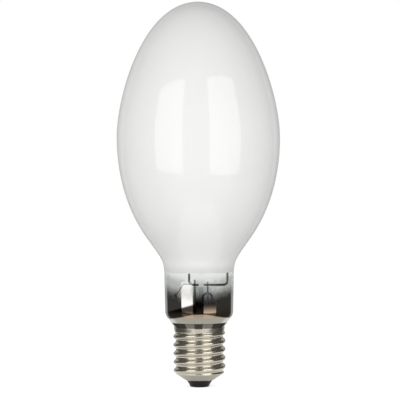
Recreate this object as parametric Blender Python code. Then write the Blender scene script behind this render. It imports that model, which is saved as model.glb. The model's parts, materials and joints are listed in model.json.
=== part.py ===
"""High pressure sodium lamp with an elliptical bulb and a large Edison screw cap.

Metres, +Z up along the lamp's axis. The origin is the middle of the contact face at the
cap's lower end, so the bulb stands over it. The camera's right in the photo is +X.
"""

import math

import bmesh
import bpy
from mathutils import Matrix, Vector
from mathutils.geometry import interpolate_bezier

# Space between pieces that touch, and the sides of round pieces
GAP = 0.0003
BULB_SIDES = 40
LARGE_SIDES = 32
SMALL_SIDES = 20
TINY_SIDES = 12

# Cap: rolled sheet shell with the screw, black glass and contact
CAP_LENGTH = 0.0445
CAP_SHEET = 0.0005
CREST_RADIUS = 0.01955
ROOT_RADIUS = 0.01775
THREAD_PITCH = 0.00635
FIRST_CREST_HEIGHT = 0.01533
THREAD_RUNOUT = 0.0024
PLAIN_BAND = 0.0026
SHELL_MOUTH_RADIUS = 0.0106
SHELL_MOUTH_HEIGHT = 0.0051
SHELL_CONE_HEIGHT = 0.0052
SHELL_CONE_BEND = 0.0022
SHELL_CONE_RUN = 0.0018
ROWS_PER_PITCH = 6
RIM_FLARE = 0.0004
INSULATOR_FOOT_RADIUS = 0.0070
INSULATOR_FOOT_HEIGHT = 0.00025
INSULATOR_DISH = 0.0004
INSULATOR_RISE = 0.0034
INSULATOR_BORE_RADIUS = 0.0015
CONTACT_RADIUS = 0.0063
CONTACT_THICKNESS = 0.0012
CONTACT_BARREL_RADIUS = 0.0024
CONTACT_BARREL_LENGTH = 0.0022
CONTACT_HOLE_RADIUS = 0.0014
CONTACT_SOLDER_SINK = 0.00015
SIDE_SOLDER_RADIUS = 0.0017
SIDE_SOLDER_HEIGHT = 0.0010
NOTCH_WIDTH = 0.0014
NOTCH_DEPTH = 0.0034
CEMENT_HEIGHT = 0.011

# Bulb: blown glass, from its widest place up and down
BULB_RADIUS = 0.061
BULB_WALL = 0.0010
DOME_HEIGHT = 0.1014
BELLY_HEIGHT = 0.0740
BELLY_FOOT_RADIUS = 0.0395
BELLY_FOOT_SLOPE = math.radians(34.8)
FILLET_HEIGHT = 0.0340
NECK_RADIUS = 0.0259
NECK_HEIGHT = 0.0245
NECK_TAPER = 0.0005
SHOULDER_SLOPE = math.radians(38.0)
SHOULDER_BEND = 0.0085
THROAT_RADIUS = 0.0150
THROAT_BEND = 0.0030
THROAT_DEPTH = 0.0225

# How far the bulb's curves keep their end directions, as shares of each curve's size
DOME_FLATNESS = 0.675
DOME_FULLNESS = 0.303
BELLY_FULLNESS = 0.257
BELLY_FOOT_REACH = 0.426
FILLET_FOOT_REACH = 0.667
FILLET_TOP_REACH = 0.506

# Stem: flare, tube and press, with its wires
STEM_TUBE_RADIUS = 0.0088
STEM_WALL = 0.0012
STEM_FLANGE = 0.0012
STEM_FLARE_HEIGHT = 0.0110
PRESS_HEIGHT = 0.0524
PRESS_LENGTH = 0.0130
PRESS_HALF_WIDTH = 0.0076
PRESS_HALF_DEPTH = 0.0026
PRESS_OFFSET = 0.0016
PRESS_SQUARENESS = 3.0
CAVITY_DROP_SHARE = 0.4
LEAD_FOOT_DROP_SHARE = 1.6
EXHAUST_RADIUS = 0.0025
EXHAUST_BORE_RADIUS = 0.0015
EXHAUST_TIP_RISE = 0.0045
LEAD_RADIUS = 0.0006
LEAD_SPACING = 0.0096
TAIL_RADIUS = 0.0003
CONTACT_LEAD_TOP = 0.0053
SHELL_LEAD_TOP = 0.0038
LEAD_BEND = 0.0025

# Frame: the heavy wires that carry the arc tube
FRAME_WIRE_RADIUS = 0.0008
FRAME_FOOT_RISE = 0.0017
FRAME_BEND = 0.0024
RAIL_CLEARANCE = 0.0024
FOOT_OVERHANG = 0.0029
SUPPORT_REACH = 0.0042
SUPPORT_ARM_DROP = 0.0050
RAIL_TOP_BEND = 0.0070
CROSSBAR_OVERHANG = 0.0150
CROSSBAR_RISE = 0.0060
SPRING_WIDTH = 0.0040
SPRING_THICKNESS = 0.0003
SPRING_RISE = 0.0210
SPRING_START = 0.0040
SPRING_FLAT = 0.0110
SPRING_TIP = 0.0060
SPRING_BEND = 0.0060
SPRING_TIP_BEND = 0.0030

# Arc tube, its ends and electrodes
ARC_CENTRE_DROP = 0.0110
ARC_TUBE_LENGTH = 0.110
ARC_TUBE_RADIUS = 0.0046
ARC_TUBE_WALL = 0.0008
PLUG_THICKNESS = 0.0040
PLUG_SINK = 0.0005
NIOBIUM_RADIUS = 0.0020
NIOBIUM_WALL = 0.0003
NIOBIUM_STICK_OUT = 0.0100
ELECTRODE_RADIUS = 0.0006
ELECTRODE_LENGTH = 0.0110
COIL_WIRE_RADIUS = 0.0003
COIL_TURNS = 4
COIL_PITCH = 0.0011
COIL_TIP_SETBACK = 0.0012
GUIDE_RADIUS = 0.0006
GUIDE_REACH = 0.0050
STRAP_WIDTH = 0.0024
STRAP_THICKNESS = 0.0003
STRAP_BOW = 0.0080
STRAP_LAP = 0.0050
STRAP_FOOT_BEND = 0.0012
STRAP_BOW_BEND = 0.0018

# Getters: small channel rings on thin wires, behind the film they leave in the neck
GETTER_RADIUS = 0.0045
GETTER_HOLE_RADIUS = 0.0028
GETTER_DEPTH = 0.0015
GETTER_SHEET = 0.0003
GETTER_WIRE_RADIUS = 0.00035
GETTER_DROP = 0.0110
GETTER_WALL_DISTANCE = 0.0060
GETTER_WIRE_BEND = 0.0015

# Heights and places worked out from the sizes above
NECK_FOOT_RADIUS = NECK_RADIUS - NECK_TAPER
RIM_RADIUS = (CREST_RADIUS + ROOT_RADIUS) / 2
THREAD_DEPTH = CREST_RADIUS - ROOT_RADIUS
RIM_BORE_RADIUS = RIM_RADIUS - CAP_SHEET
SHOULDER_TAN = math.tan(SHOULDER_SLOPE)
CONE_SEAT_RADIUS = RIM_BORE_RADIUS + RIM_FLARE - GAP
SIDE_SOLDER_Y = RIM_RADIUS + RIM_FLARE / 2 + GAP
SHOULDER_TOP = CAP_LENGTH + (NECK_FOOT_RADIUS - CONE_SEAT_RADIUS) / SHOULDER_TAN
THROAT_TOP = CAP_LENGTH - (CONE_SEAT_RADIUS - THROAT_RADIUS) / SHOULDER_TAN
THROAT_END = CAP_LENGTH - THROAT_DEPTH
NECK_TOP = SHOULDER_TOP + NECK_HEIGHT
BELLY_FOOT = NECK_TOP + FILLET_HEIGHT
WIDEST = BELLY_FOOT + BELLY_HEIGHT
LAMP_TOP = WIDEST + DOME_HEIGHT
STEM_FOOT = THROAT_END - GAP - STEM_FLANGE
PRESS_TOP = THROAT_END + PRESS_HEIGHT
PRESS_FOOT = PRESS_TOP - PRESS_LENGTH
INSULATOR_TOP = SHELL_MOUTH_HEIGHT + INSULATOR_RISE
LEFT_LEAD_X = PRESS_OFFSET - LEAD_SPACING / 2
RIGHT_LEAD_X = PRESS_OFFSET + LEAD_SPACING / 2
FOOT_HEIGHT = PRESS_TOP + FRAME_FOOT_RISE
FOOT_Y = -(LEAD_RADIUS + FRAME_WIRE_RADIUS + GAP)
NECK_BORE_RADIUS = NECK_FOOT_RADIUS - BULB_WALL
RAIL_X = NECK_BORE_RADIUS - RAIL_CLEARANCE - FRAME_WIRE_RADIUS
ARC_CENTRE = WIDEST - ARC_CENTRE_DROP
ARC_BOTTOM = ARC_CENTRE - ARC_TUBE_LENGTH / 2
ARC_TOP = ARC_CENTRE + ARC_TUBE_LENGTH / 2
CROSSBAR_Z = ARC_TOP + NIOBIUM_STICK_OUT + CROSSBAR_RISE
CROSSBAR_Y = -(GUIDE_RADIUS + FRAME_WIRE_RADIUS + GAP)
CAVITY_TOP = PRESS_FOOT - CAVITY_DROP_SHARE * STEM_TUBE_RADIUS
LEAD_FOOT = PRESS_FOOT - LEAD_FOOT_DROP_SHARE * STEM_TUBE_RADIUS
NOTCH_FOOT = CAP_LENGTH - NOTCH_DEPTH
TAIL_EXIT = NOTCH_FOOT + GAP + TAIL_RADIUS
TAIL_Y = ROOT_RADIUS - CAP_SHEET - GAP - TAIL_RADIUS


def clear_scene():
    for old in list(bpy.data.objects):
        bpy.data.objects.remove(old, do_unlink=True)


def finish(name, colour, roughness, metallic=0.0, alpha=1.0):
    """A Principled material for one piece."""
    made = bpy.data.materials.new(name)
    made.use_nodes = True
    shader = made.node_tree.nodes["Principled BSDF"]
    shader.inputs["Base Color"].default_value = (*colour, 1.0)
    shader.inputs["Roughness"].default_value = roughness
    shader.inputs["Metallic"].default_value = metallic
    shader.inputs["Alpha"].default_value = alpha
    return made


def place(name, data, material, parent, at=(0.0, 0.0, 0.0), turn=(0.0, 0.0, 0.0)):
    """An object of this mesh or curve, with its material, on its parent."""
    made = bpy.data.objects.new(name, data)
    data.materials.append(material)
    bpy.context.scene.collection.objects.link(made)
    made.parent = parent
    made.location = at
    made.rotation_euler = turn
    return made


def smooth(mesh):
    mesh.shade_smooth()
    mesh.set_sharp_from_angle(angle=math.radians(32.0))


def point(radius, height):
    """A point of a turned profile, which lies in the XZ plane."""
    return Vector((radius, 0.0, height))


def rounded(corners, steps=4):
    """The points of a bent line. Each corner is (point, bend radius), and a bend is an arc."""
    points = [corners[0][0].copy()]
    for i in range(1, len(corners) - 1):
        corner, radius = corners[i]
        back = (corners[i - 1][0] - corner).normalized()
        ahead = (corners[i + 1][0] - corner).normalized()
        half = back.angle(ahead) / 2
        if radius == 0.0 or half > math.radians(89.5):
            points.append(corner.copy())
            continue
        middle = corner + (back + ahead).normalized() * radius / math.sin(half)
        first = (corner + back * radius / math.tan(half) - middle).normalized()
        last = (corner + ahead * radius / math.tan(half) - middle).normalized()
        for k in range(steps + 1):
            points.append(middle + radius * first.slerp(last, k / steps))
    points.append(corners[-1][0].copy())
    return points


def inset(points, distance):
    """The profile moved towards the axis side by this distance, square to its run."""
    moved = []
    for i, p in enumerate(points):
        run = points[min(i + 1, len(points) - 1)] - points[max(i - 1, 0)]
        moved.append(p + Vector((run.z, 0.0, -run.x)).normalized() * distance)
    return moved


def radius_at(profile, height):
    """The radius of a profile that runs from top to bottom, at this height."""
    for upper, lower in zip(profile, profile[1:]):
        if lower.z <= height <= upper.z:
            share = (height - lower.z) / max(upper.z - lower.z, 1e-9)
            return lower.x + (upper.x - lower.x) * share
    return profile[-1].x


def turned(name, profile, sides, material, parent, at=(0.0, 0.0, 0.0), turn=(0.0, 0.0, 0.0)):
    """A solid of revolution. The profile is the closed outline of one half of its section."""
    bm = bmesh.new()
    corners = [bm.verts.new(p) for p in profile]
    edges = [bm.edges.new(pair) for pair in zip(corners, corners[1:])]
    if profile[0].x > 0.0 or profile[-1].x > 0.0:
        edges.append(bm.edges.new((corners[-1], corners[0])))
    bmesh.ops.spin(
        bm, geom=corners + edges, axis=(0, 0, 1), cent=(0, 0, 0),
        angle=math.tau, steps=sides, use_merge=True,
    )
    bmesh.ops.remove_doubles(bm, verts=bm.verts, dist=1e-6)
    bmesh.ops.recalc_face_normals(bm, faces=bm.faces)
    mesh = bpy.data.meshes.new(name)
    bm.to_mesh(mesh)
    bm.free()
    smooth(mesh)
    return place(name, mesh, material, parent, at, turn)


def lofted(name, rings, material, parent):
    """A solid through rings of equally many points, closed at the first and the last ring."""
    bm = bmesh.new()
    loops = [[bm.verts.new(p) for p in ring] for ring in rings]
    count = len(loops[0])
    for lower, upper in zip(loops, loops[1:]):
        for j in range(count):
            k = (j + 1) % count
            bm.faces.new((lower[j], lower[k], upper[k], upper[j]))
    bm.faces.new(loops[0][::-1])
    bm.faces.new(loops[-1])
    bmesh.ops.recalc_face_normals(bm, faces=bm.faces)
    mesh = bpy.data.meshes.new(name)
    bm.to_mesh(mesh)
    bm.free()
    smooth(mesh)
    return place(name, mesh, material, parent)


def wire(name, points, radius, material, parent, resolution=2):
    """A round wire along these points, closed at both ends."""
    curve = bpy.data.curves.new(name, "CURVE")
    curve.dimensions = "3D"
    curve.bevel_depth = radius
    curve.bevel_resolution = resolution
    curve.use_fill_caps = True
    spline = curve.splines.new("POLY")
    spline.points.add(len(points) - 1)
    for knot, p in zip(spline.points, points):
        knot.co = (*p, 1.0)
    return place(name, curve, material, parent)


def ribbon(name, path, y, width, thickness, material, parent):
    """A flat strip that bends along a path in the XZ plane, at this y."""
    rings = []
    for i, p in enumerate(path):
        run = path[min(i + 1, len(path) - 1)] - path[max(i - 1, 0)]
        across = Vector((run.z, 0.0, -run.x)).normalized() * thickness / 2
        side = Vector((0.0, width / 2, 0.0))
        middle = p + Vector((0.0, y, 0.0))
        rings.append([middle + across + side, middle - across + side,
                      middle - across - side, middle + across - side])
    return lofted(name, rings, material, parent)


def cutter(name, corner_low, corner_high):
    """A box that Boolean modifiers cut with."""
    bm = bmesh.new()
    bmesh.ops.create_cube(bm, size=1.0)
    size = corner_high - corner_low
    middle = (corner_high + corner_low) / 2
    bmesh.ops.transform(
        bm, matrix=Matrix.Translation(middle) @ Matrix.Diagonal((*size, 1.0)), verts=bm.verts)
    return guide_object(name, bm)


def drill(name, radius, start, end, sides=12):
    """A round cutter from start to end."""
    bm = bmesh.new()
    length = (end - start).length
    bmesh.ops.create_cone(
        bm, cap_ends=True, segments=sides, radius1=radius, radius2=radius, depth=length)
    tilt = (end - start).to_track_quat("Z", "Y").to_matrix().to_4x4()
    bmesh.ops.transform(
        bm, matrix=Matrix.Translation((start + end) / 2) @ tilt, verts=bm.verts)
    return guide_object(name, bm)


def guide_object(name, bm):
    mesh = bpy.data.meshes.new(name)
    bm.to_mesh(mesh)
    bm.free()
    made = bpy.data.objects.new(name, mesh)
    made.hide_render = True
    made.display_type = "WIRE"
    bpy.context.scene.collection.objects.link(made)
    return made


def cut(piece, tool):
    modifier = piece.modifiers.new(tool.name, "BOOLEAN")
    modifier.operation = "DIFFERENCE"
    modifier.object = tool


def wall(piece, thickness):
    """Gives an open surface its wall, on the inner side."""
    modifier = piece.modifiers.new("wall", "SOLIDIFY")
    modifier.thickness = thickness
    modifier.offset = -1.0


# Bulb

def bulb_outline():
    """The outer glass as a profile from the crown down to the sealed end in the cap."""
    crown = point(0.0, LAMP_TOP)
    widest = point(BULB_RADIUS, WIDEST)
    belly_foot = point(BELLY_FOOT_RADIUS, BELLY_FOOT)
    neck_top = point(NECK_RADIUS, NECK_TOP)
    down_slope = Vector((-math.sin(BELLY_FOOT_SLOPE), 0.0, -math.cos(BELLY_FOOT_SLOPE)))
    dome = interpolate_bezier(
        crown, point(DOME_FLATNESS * BULB_RADIUS, LAMP_TOP),
        point(BULB_RADIUS, WIDEST + DOME_FULLNESS * DOME_HEIGHT), widest, 10)
    belly = interpolate_bezier(
        widest, point(BULB_RADIUS, WIDEST - BELLY_FULLNESS * BELLY_HEIGHT),
        belly_foot - down_slope * BELLY_FOOT_REACH * BELLY_HEIGHT, belly_foot, 7)
    fillet = interpolate_bezier(
        belly_foot, belly_foot + down_slope * FILLET_FOOT_REACH * FILLET_HEIGHT,
        neck_top + Vector((0.0, 0.0, FILLET_TOP_REACH * FILLET_HEIGHT)), neck_top, 5)
    shoulder = rounded([
        (neck_top, 0.0),
        (point(NECK_FOOT_RADIUS, SHOULDER_TOP), SHOULDER_BEND),
        (point(THROAT_RADIUS, THROAT_TOP), THROAT_BEND),
        (point(THROAT_RADIUS, THROAT_END), 0.0),
    ], 3)
    return dome + belly[1:] + fillet[1:] + shoulder[1:]


def outer_bulb(parent, glass):
    """One blown shell: its outline is turned about the axis, then given its wall inwards."""
    outline = bulb_outline()
    mesh = bpy.data.meshes.new("outer_bulb")
    edges = [(i, i + 1) for i in range(len(outline) - 1)]
    mesh.from_pydata([p[:] for p in outline], edges, [])
    made = place("outer_bulb", mesh, glass, parent)
    turning = made.modifiers.new("turning", "SCREW")
    turning.steps = BULB_SIDES
    turning.render_steps = BULB_SIDES
    turning.use_merge_vertices = True
    turning.merge_threshold = 1e-5
    turning.use_smooth_shade = True
    wall(made, BULB_WALL)
    return made


# Cap

def thread_wave(height, turn):
    """How far the sheet stands out of the mean radius: equal arcs for crest and groove."""
    quarter = THREAD_PITCH / 4
    flank = math.atan(THREAD_DEPTH / 2 / quarter) * 2
    arc = quarter / math.sin(flank)
    crest = FIRST_CREST_HEIGHT + THREAD_PITCH * turn / math.tau
    along = (height - crest) % THREAD_PITCH
    along = min(along, THREAD_PITCH - along)
    if along < quarter:
        return THREAD_DEPTH / 2 - arc + math.sqrt(arc ** 2 - along ** 2)
    return arc - THREAD_DEPTH / 2 - math.sqrt(arc ** 2 - (2 * quarter - along) ** 2)


def ease(share):
    """0 to 1 without a corner at either end."""
    share = min(max(share, 0.0), 1.0)
    return share * share * (3.0 - 2.0 * share)


def shell_profile():
    """The cap shell's mean outline from its mouth at the bottom up to the rim."""
    cone_top = SHELL_MOUTH_HEIGHT + SHELL_CONE_HEIGHT
    cone = rounded([
        (point(SHELL_MOUTH_RADIUS, SHELL_MOUTH_HEIGHT), 0.0),
        (point(RIM_RADIUS, cone_top), SHELL_CONE_BEND),
        (point(RIM_RADIUS, cone_top + SHELL_CONE_RUN), 0.0),
    ])
    screw_height = CAP_LENGTH - PLAIN_BAND - cone[-1].z
    rows = round(screw_height / (THREAD_PITCH / ROWS_PER_PITCH))
    step = screw_height / rows
    side = [point(RIM_RADIUS, cone[-1].z + step * i) for i in range(1, rows + 1)]
    return cone + side + [point(RIM_RADIUS + RIM_FLARE, CAP_LENGTH)]


def cap_shell(parent, plated):
    """Rolled sheet: a grid round the profile with the screw's wave, then its thickness."""
    profile = shell_profile()
    lowest = SHELL_MOUTH_HEIGHT + SHELL_CONE_HEIGHT - CAP_SHEET
    highest = CAP_LENGTH - PLAIN_BAND
    bm = bmesh.new()
    rings = []
    for p in profile:
        rise = ease((p.z - lowest) / THREAD_RUNOUT) * ease((highest - p.z) / THREAD_RUNOUT)
        ring = []
        for j in range(LARGE_SIDES):
            turn = math.tau * j / LARGE_SIDES
            radius = p.x + rise * thread_wave(p.z, turn)
            ring.append(bm.verts.new((radius * math.cos(turn), radius * math.sin(turn), p.z)))
        rings.append(ring)
    for lower, upper in zip(rings, rings[1:]):
        for j in range(LARGE_SIDES):
            k = (j + 1) % LARGE_SIDES
            bm.faces.new((lower[j], lower[k], upper[k], upper[j]))
    mesh = bpy.data.meshes.new("cap_shell")
    bm.to_mesh(mesh)
    bm.free()
    smooth(mesh)
    made = place("cap_shell", mesh, plated, parent)
    wall(made, CAP_SHEET)
    notch = cutter(
        "rim_notch_cutter",
        Vector((-NOTCH_WIDTH / 2, RIM_RADIUS - 3 * CAP_SHEET, NOTCH_FOOT)),
        Vector((NOTCH_WIDTH / 2, RIM_RADIUS + 3 * CAP_SHEET, CAP_LENGTH + CAP_SHEET)))
    cut(made, notch)
    return made


def cap_insulator(parent, black_glass):
    """Black glass run into the shell's mouth, round the contact's barrel and the lead's bore."""
    seat = inset(shell_profile()[::-1], CAP_SHEET + GAP)
    seat_radius = radius_at(seat, INSULATOR_TOP)
    recess = CONTACT_RADIUS + GAP
    barrel = CONTACT_BARREL_RADIUS + GAP
    barrel_top = CONTACT_THICKNESS + CONTACT_BARREL_LENGTH + GAP
    mouth = seat[-1] - Vector((0.0, 0.0, CAP_SHEET))
    foot = point(INSULATOR_FOOT_RADIUS, INSULATOR_FOOT_HEIGHT)
    dished = (mouth + foot) / 2 - Vector((INSULATOR_DISH, 0.0, 0.0))
    flank = interpolate_bezier(mouth, dished, dished, foot, 5)
    profile = [
        point(INSULATOR_BORE_RADIUS, INSULATOR_TOP),
        point(seat_radius, INSULATOR_TOP),
        seat[-1],
        *flank,
        point(recess, INSULATOR_FOOT_HEIGHT),
        point(recess, CONTACT_THICKNESS + GAP),
        point(barrel, CONTACT_THICKNESS + GAP),
        point(barrel, barrel_top),
        point(INSULATOR_BORE_RADIUS, barrel_top),
    ]
    return turned("cap_insulator", profile, LARGE_SIDES, black_glass, parent)


def centre_contact(parent, plated):
    """An eyelet: the flat contact face, with a barrel that keys it into the black glass."""
    edge = 0.25 * CONTACT_THICKNESS
    barrel_top = CONTACT_THICKNESS + CONTACT_BARREL_LENGTH
    profile = [
        point(CONTACT_HOLE_RADIUS, 0.0),
        point(CONTACT_RADIUS - edge, 0.0),
        point(CONTACT_RADIUS, edge),
        point(CONTACT_RADIUS, CONTACT_THICKNESS),
        point(CONTACT_BARREL_RADIUS, CONTACT_THICKNESS),
        point(CONTACT_BARREL_RADIUS, barrel_top),
        point(CONTACT_HOLE_RADIUS, barrel_top),
    ]
    return turned("centre_contact", profile, SMALL_SIDES, plated, parent)


def solder_joints(parent, solder):
    """The plug of solder in the contact's eyelet, and the button over the rim's notch."""
    radius = CONTACT_HOLE_RADIUS - GAP
    top = CONTACT_THICKNESS
    plug = [
        point(0.0, CONTACT_SOLDER_SINK),
        point(0.7 * radius, CONTACT_SOLDER_SINK + 0.1 * radius),
        point(radius, CONTACT_SOLDER_SINK + 0.4 * radius),
        point(radius, top - GAP),
        point(0.0, top),
    ]
    turned("contact_solder", plug, TINY_SIDES, solder, parent)
    button = [point(0.0, SIDE_SOLDER_HEIGHT)]
    for degrees in (30, 60, 90):
        a = math.radians(degrees)
        button.append(point(SIDE_SOLDER_RADIUS * math.sin(a), SIDE_SOLDER_HEIGHT * math.cos(a)))
    button.append(point(0.0, 0.0))
    at = (0.0, SIDE_SOLDER_Y, TAIL_EXIT)
    turned("side_solder", button, TINY_SIDES, solder, parent, at, (-math.pi / 2, 0.0, 0.0))


def basing_cement(parent, cement):
    """The baked ring between throat and shell, open where the lead runs up to the rim."""
    top = THROAT_TOP - THROAT_BEND * math.tan(SHOULDER_SLOPE / 2) - GAP
    inner = THROAT_RADIUS + GAP
    outer = ROOT_RADIUS - CAP_SHEET - GAP
    profile = [
        point(inner, top - CEMENT_HEIGHT),
        point(outer, top - CEMENT_HEIGHT),
        point(outer, top),
        point(inner, top),
    ]
    made = turned("basing_cement", profile, LARGE_SIDES, cement, parent)
    half = TAIL_RADIUS + 2 * GAP
    groove = cutter(
        "cement_groove_cutter",
        Vector((-half, inner - CAP_SHEET, top - CEMENT_HEIGHT - CAP_SHEET)),
        Vector((half, outer + CAP_SHEET, top + CAP_SHEET)))
    cut(made, groove)
    return made


# Stem and leads

def section(height, half_width, half_depth, offset, squareness, sides=SMALL_SIDES):
    """One level ring of the stem, from a circle (squareness 2) to a slab with round edges."""
    ring = []
    for j in range(sides):
        a = math.tau * j / sides
        x = math.copysign(abs(math.cos(a)) ** (2 / squareness), math.cos(a))
        y = math.copysign(abs(math.sin(a)) ** (2 / squareness), math.sin(a))
        ring.append(Vector((offset + half_width * x, half_depth * y, height)))
    return ring


def flare_radius(height):
    """The trumpet's outer radius: it widens from the tube towards the sealed end."""
    share = min((height - STEM_FOOT) / STEM_FLARE_HEIGHT, 1.0)
    mouth = THROAT_RADIUS - BULB_WALL - 3 * GAP
    return STEM_TUBE_RADIUS + (mouth - STEM_TUBE_RADIUS) * (1.0 - share) ** 2


def stem_levels():
    """(height, half width, half depth, offset, squareness) of the outer glass, upwards."""
    tube = STEM_TUBE_RADIUS
    levels = []
    for share in (0.2, 0.4, 0.65, 1.0):
        height = STEM_FOOT + share * STEM_FLARE_HEIGHT
        levels.append((height, flare_radius(height), flare_radius(height), 0.0, 2.0))
    neck = PRESS_FOOT - tube
    levels.append((neck, tube, tube, 0.3 * PRESS_OFFSET, 2.0))
    halfway_depth = (tube + PRESS_HALF_DEPTH) / 2
    levels.append((CAVITY_TOP, tube, halfway_depth, 0.7 * PRESS_OFFSET, 2.3))
    edge = 0.7 * STEM_WALL
    for height, trim in ((PRESS_FOOT, 0.0), (PRESS_TOP - STEM_WALL, 0.0), (PRESS_TOP, edge)):
        levels.append((height, PRESS_HALF_WIDTH - trim, PRESS_HALF_DEPTH - trim,
                       PRESS_OFFSET, PRESS_SQUARENESS))
    return levels


def stem(parent, glass):
    """Flare, tube and press in one: up the outside, with a cavity open at the flare."""
    outer = [section(*level) for level in stem_levels()]
    inner = [
        section(height, half_width - STEM_WALL, half_depth - STEM_WALL, offset, squareness)
        for height, half_width, half_depth, offset, squareness in stem_levels()
        if height <= CAVITY_TOP
    ]
    edge = STEM_FLANGE / 4
    flange_top = STEM_FOOT + STEM_FLANGE
    flange = [
        section(height, radius, radius, 0.0, 2.0)
        for height, radius in (
            (STEM_FOOT, flare_radius(STEM_FOOT) - STEM_WALL),
            (STEM_FOOT, THROAT_RADIUS - edge),
            (STEM_FOOT + edge, THROAT_RADIUS),
            (flange_top, THROAT_RADIUS),
            (flange_top, flare_radius(flange_top)),
        )
    ]
    made = lofted("stem", inner[::-1] + flange + outer, glass, parent)
    for hole, x, radius in (
        ("left_lead", LEFT_LEAD_X, LEAD_RADIUS + GAP),
        ("right_lead", RIGHT_LEAD_X, LEAD_RADIUS + GAP),
        ("pumping", PRESS_OFFSET, EXHAUST_BORE_RADIUS),
    ):
        start = Vector((x, 0.0, CAVITY_TOP - 2 * STEM_WALL))
        end = Vector((x, 0.0, PRESS_TOP + STEM_WALL))
        cut(made, drill(hole + "_hole_cutter", radius, start, end))
    return made


def exhaust_tube(parent, glass):
    """The pumping tube: a tipped-off round end in the cap, its mouth under the press's bore."""
    tip = INSULATOR_TOP + EXHAUST_TIP_RISE
    top = CAVITY_TOP - GAP
    profile = [point(0.0, tip)]
    for degrees in (30, 60, 90):
        a = math.radians(degrees)
        profile.append(point(
            EXHAUST_RADIUS * math.sin(a), tip + EXHAUST_RADIUS * (1 - math.cos(a))))
    profile += [
        point(EXHAUST_RADIUS, top),
        point(EXHAUST_BORE_RADIUS, top),
        point(EXHAUST_BORE_RADIUS, tip + 2 * EXHAUST_RADIUS),
        point(0.0, tip + 1.5 * EXHAUST_RADIUS),
    ]
    at = (PRESS_OFFSET, 0.0, 0.0)
    return turned("exhaust_tube", profile, TINY_SIDES, glass, parent, at)


def leads(parent, nickel):
    """The two heavy wires that stand through the press."""
    for name, x, top in (
        ("contact_lead", LEFT_LEAD_X, PRESS_TOP + CONTACT_LEAD_TOP),
        ("shell_lead", RIGHT_LEAD_X, PRESS_TOP + SHELL_LEAD_TOP),
    ):
        ends = [Vector((x, 0.0, LEAD_FOOT)), Vector((x, 0.0, top))]
        wire(name, ends, LEAD_RADIUS, nickel, parent)


def lead_tails(parent, copper):
    """Thin wires under the leads: one down to the eyelet, one out to the notch in the rim."""
    x = LEFT_LEAD_X
    turn_off = INSULATOR_TOP + GAP + LEAD_BEND / 2
    wire("contact_lead_tail", rounded([
        (Vector((0.0, 0.0, CONTACT_THICKNESS + GAP)), 0.0),
        (Vector((0.0, 0.0, turn_off)), LEAD_BEND),
        (Vector((x, 0.0, turn_off - x)), LEAD_BEND),
        (Vector((x, 0.0, LEAD_FOOT - GAP)), 0.0),
    ]), TAIL_RADIUS, copper, parent)
    x = RIGHT_LEAD_X
    low = (INSULATOR_TOP + STEM_FOOT) / 2
    wire("shell_lead_tail", rounded([
        (Vector((0.0, SIDE_SOLDER_Y - GAP, TAIL_EXIT)), 0.0),
        (Vector((0.0, TAIL_Y, TAIL_EXIT)), 2 * TAIL_RADIUS),
        (Vector((0.0, TAIL_Y, low)), LEAD_BEND),
        (Vector((x, 0.0, low)), LEAD_BEND),
        (Vector((x, 0.0, LEAD_FOOT - GAP)), 0.0),
    ]), TAIL_RADIUS, copper, parent)


# Frame

def frame_rail(parent, steel):
    """The foot over the press, the rail up beside the arc tube, and the bar across its top."""
    foot_end = RIGHT_LEAD_X - FOOT_OVERHANG
    bend = FRAME_BEND + FRAME_WIRE_RADIUS
    wire("frame_rail", rounded([
        (Vector((foot_end, FOOT_Y, FOOT_HEIGHT)), 0.0),
        (Vector((RAIL_X, FOOT_Y, FOOT_HEIGHT)), bend),
        (Vector((RAIL_X, CROSSBAR_Y, CROSSBAR_Z)), RAIL_TOP_BEND),
        (Vector((-CROSSBAR_OVERHANG, CROSSBAR_Y, CROSSBAR_Z)), 0.0),
    ]), FRAME_WIRE_RADIUS, steel, parent)


def lower_support(parent, steel):
    """From the contact lead out, up, and across the front of the lower niobium tube."""
    arm_height = ARC_BOTTOM - SUPPORT_ARM_DROP
    arm_y = -(NIOBIUM_RADIUS + FRAME_WIRE_RADIUS + GAP)
    post_x = LEFT_LEAD_X - SUPPORT_REACH
    bend = FRAME_BEND + FRAME_WIRE_RADIUS
    wire("lower_support", rounded([
        (Vector((LEFT_LEAD_X + FOOT_OVERHANG, FOOT_Y, FOOT_HEIGHT)), 0.0),
        (Vector((post_x, FOOT_Y, FOOT_HEIGHT)), bend),
        (Vector((post_x, arm_y, arm_height)), bend),
        (Vector((2 * NIOBIUM_RADIUS, arm_y, arm_height)), 0.0),
    ]), FRAME_WIRE_RADIUS, steel, parent)


def dome_springs(parent, steel):
    """Two leaf springs on the top bar that bow out and rest on the inside of the dome."""
    bore = inset(bulb_outline(), BULB_WALL + 2 * GAP + SPRING_THICKNESS / 2)
    base = CROSSBAR_Z + FRAME_WIRE_RADIUS + GAP + SPRING_THICKNESS / 2
    reach_z = CROSSBAR_Z + SPRING_RISE
    reach_y = abs(CROSSBAR_Y) + SPRING_WIDTH / 2
    touch = math.sqrt(radius_at(bore, reach_z) ** 2 - reach_y ** 2)
    tip_z = reach_z + SPRING_TIP
    tip = math.sqrt(radius_at(bore, tip_z) ** 2 - reach_y ** 2) - SPRING_TIP / 2
    for side, sign in (("left", -1), ("right", 1)):
        path = rounded([
            (Vector((sign * SPRING_START, 0.0, base)), 0.0),
            (Vector((sign * SPRING_FLAT, 0.0, base)), SPRING_BEND),
            (Vector((sign * touch, 0.0, reach_z)), SPRING_TIP_BEND),
            (Vector((sign * tip, 0.0, tip_z)), 0.0),
        ])
        ribbon(side + "_dome_spring", path, CROSSBAR_Y, SPRING_WIDTH, SPRING_THICKNESS,
               steel, parent)


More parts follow.
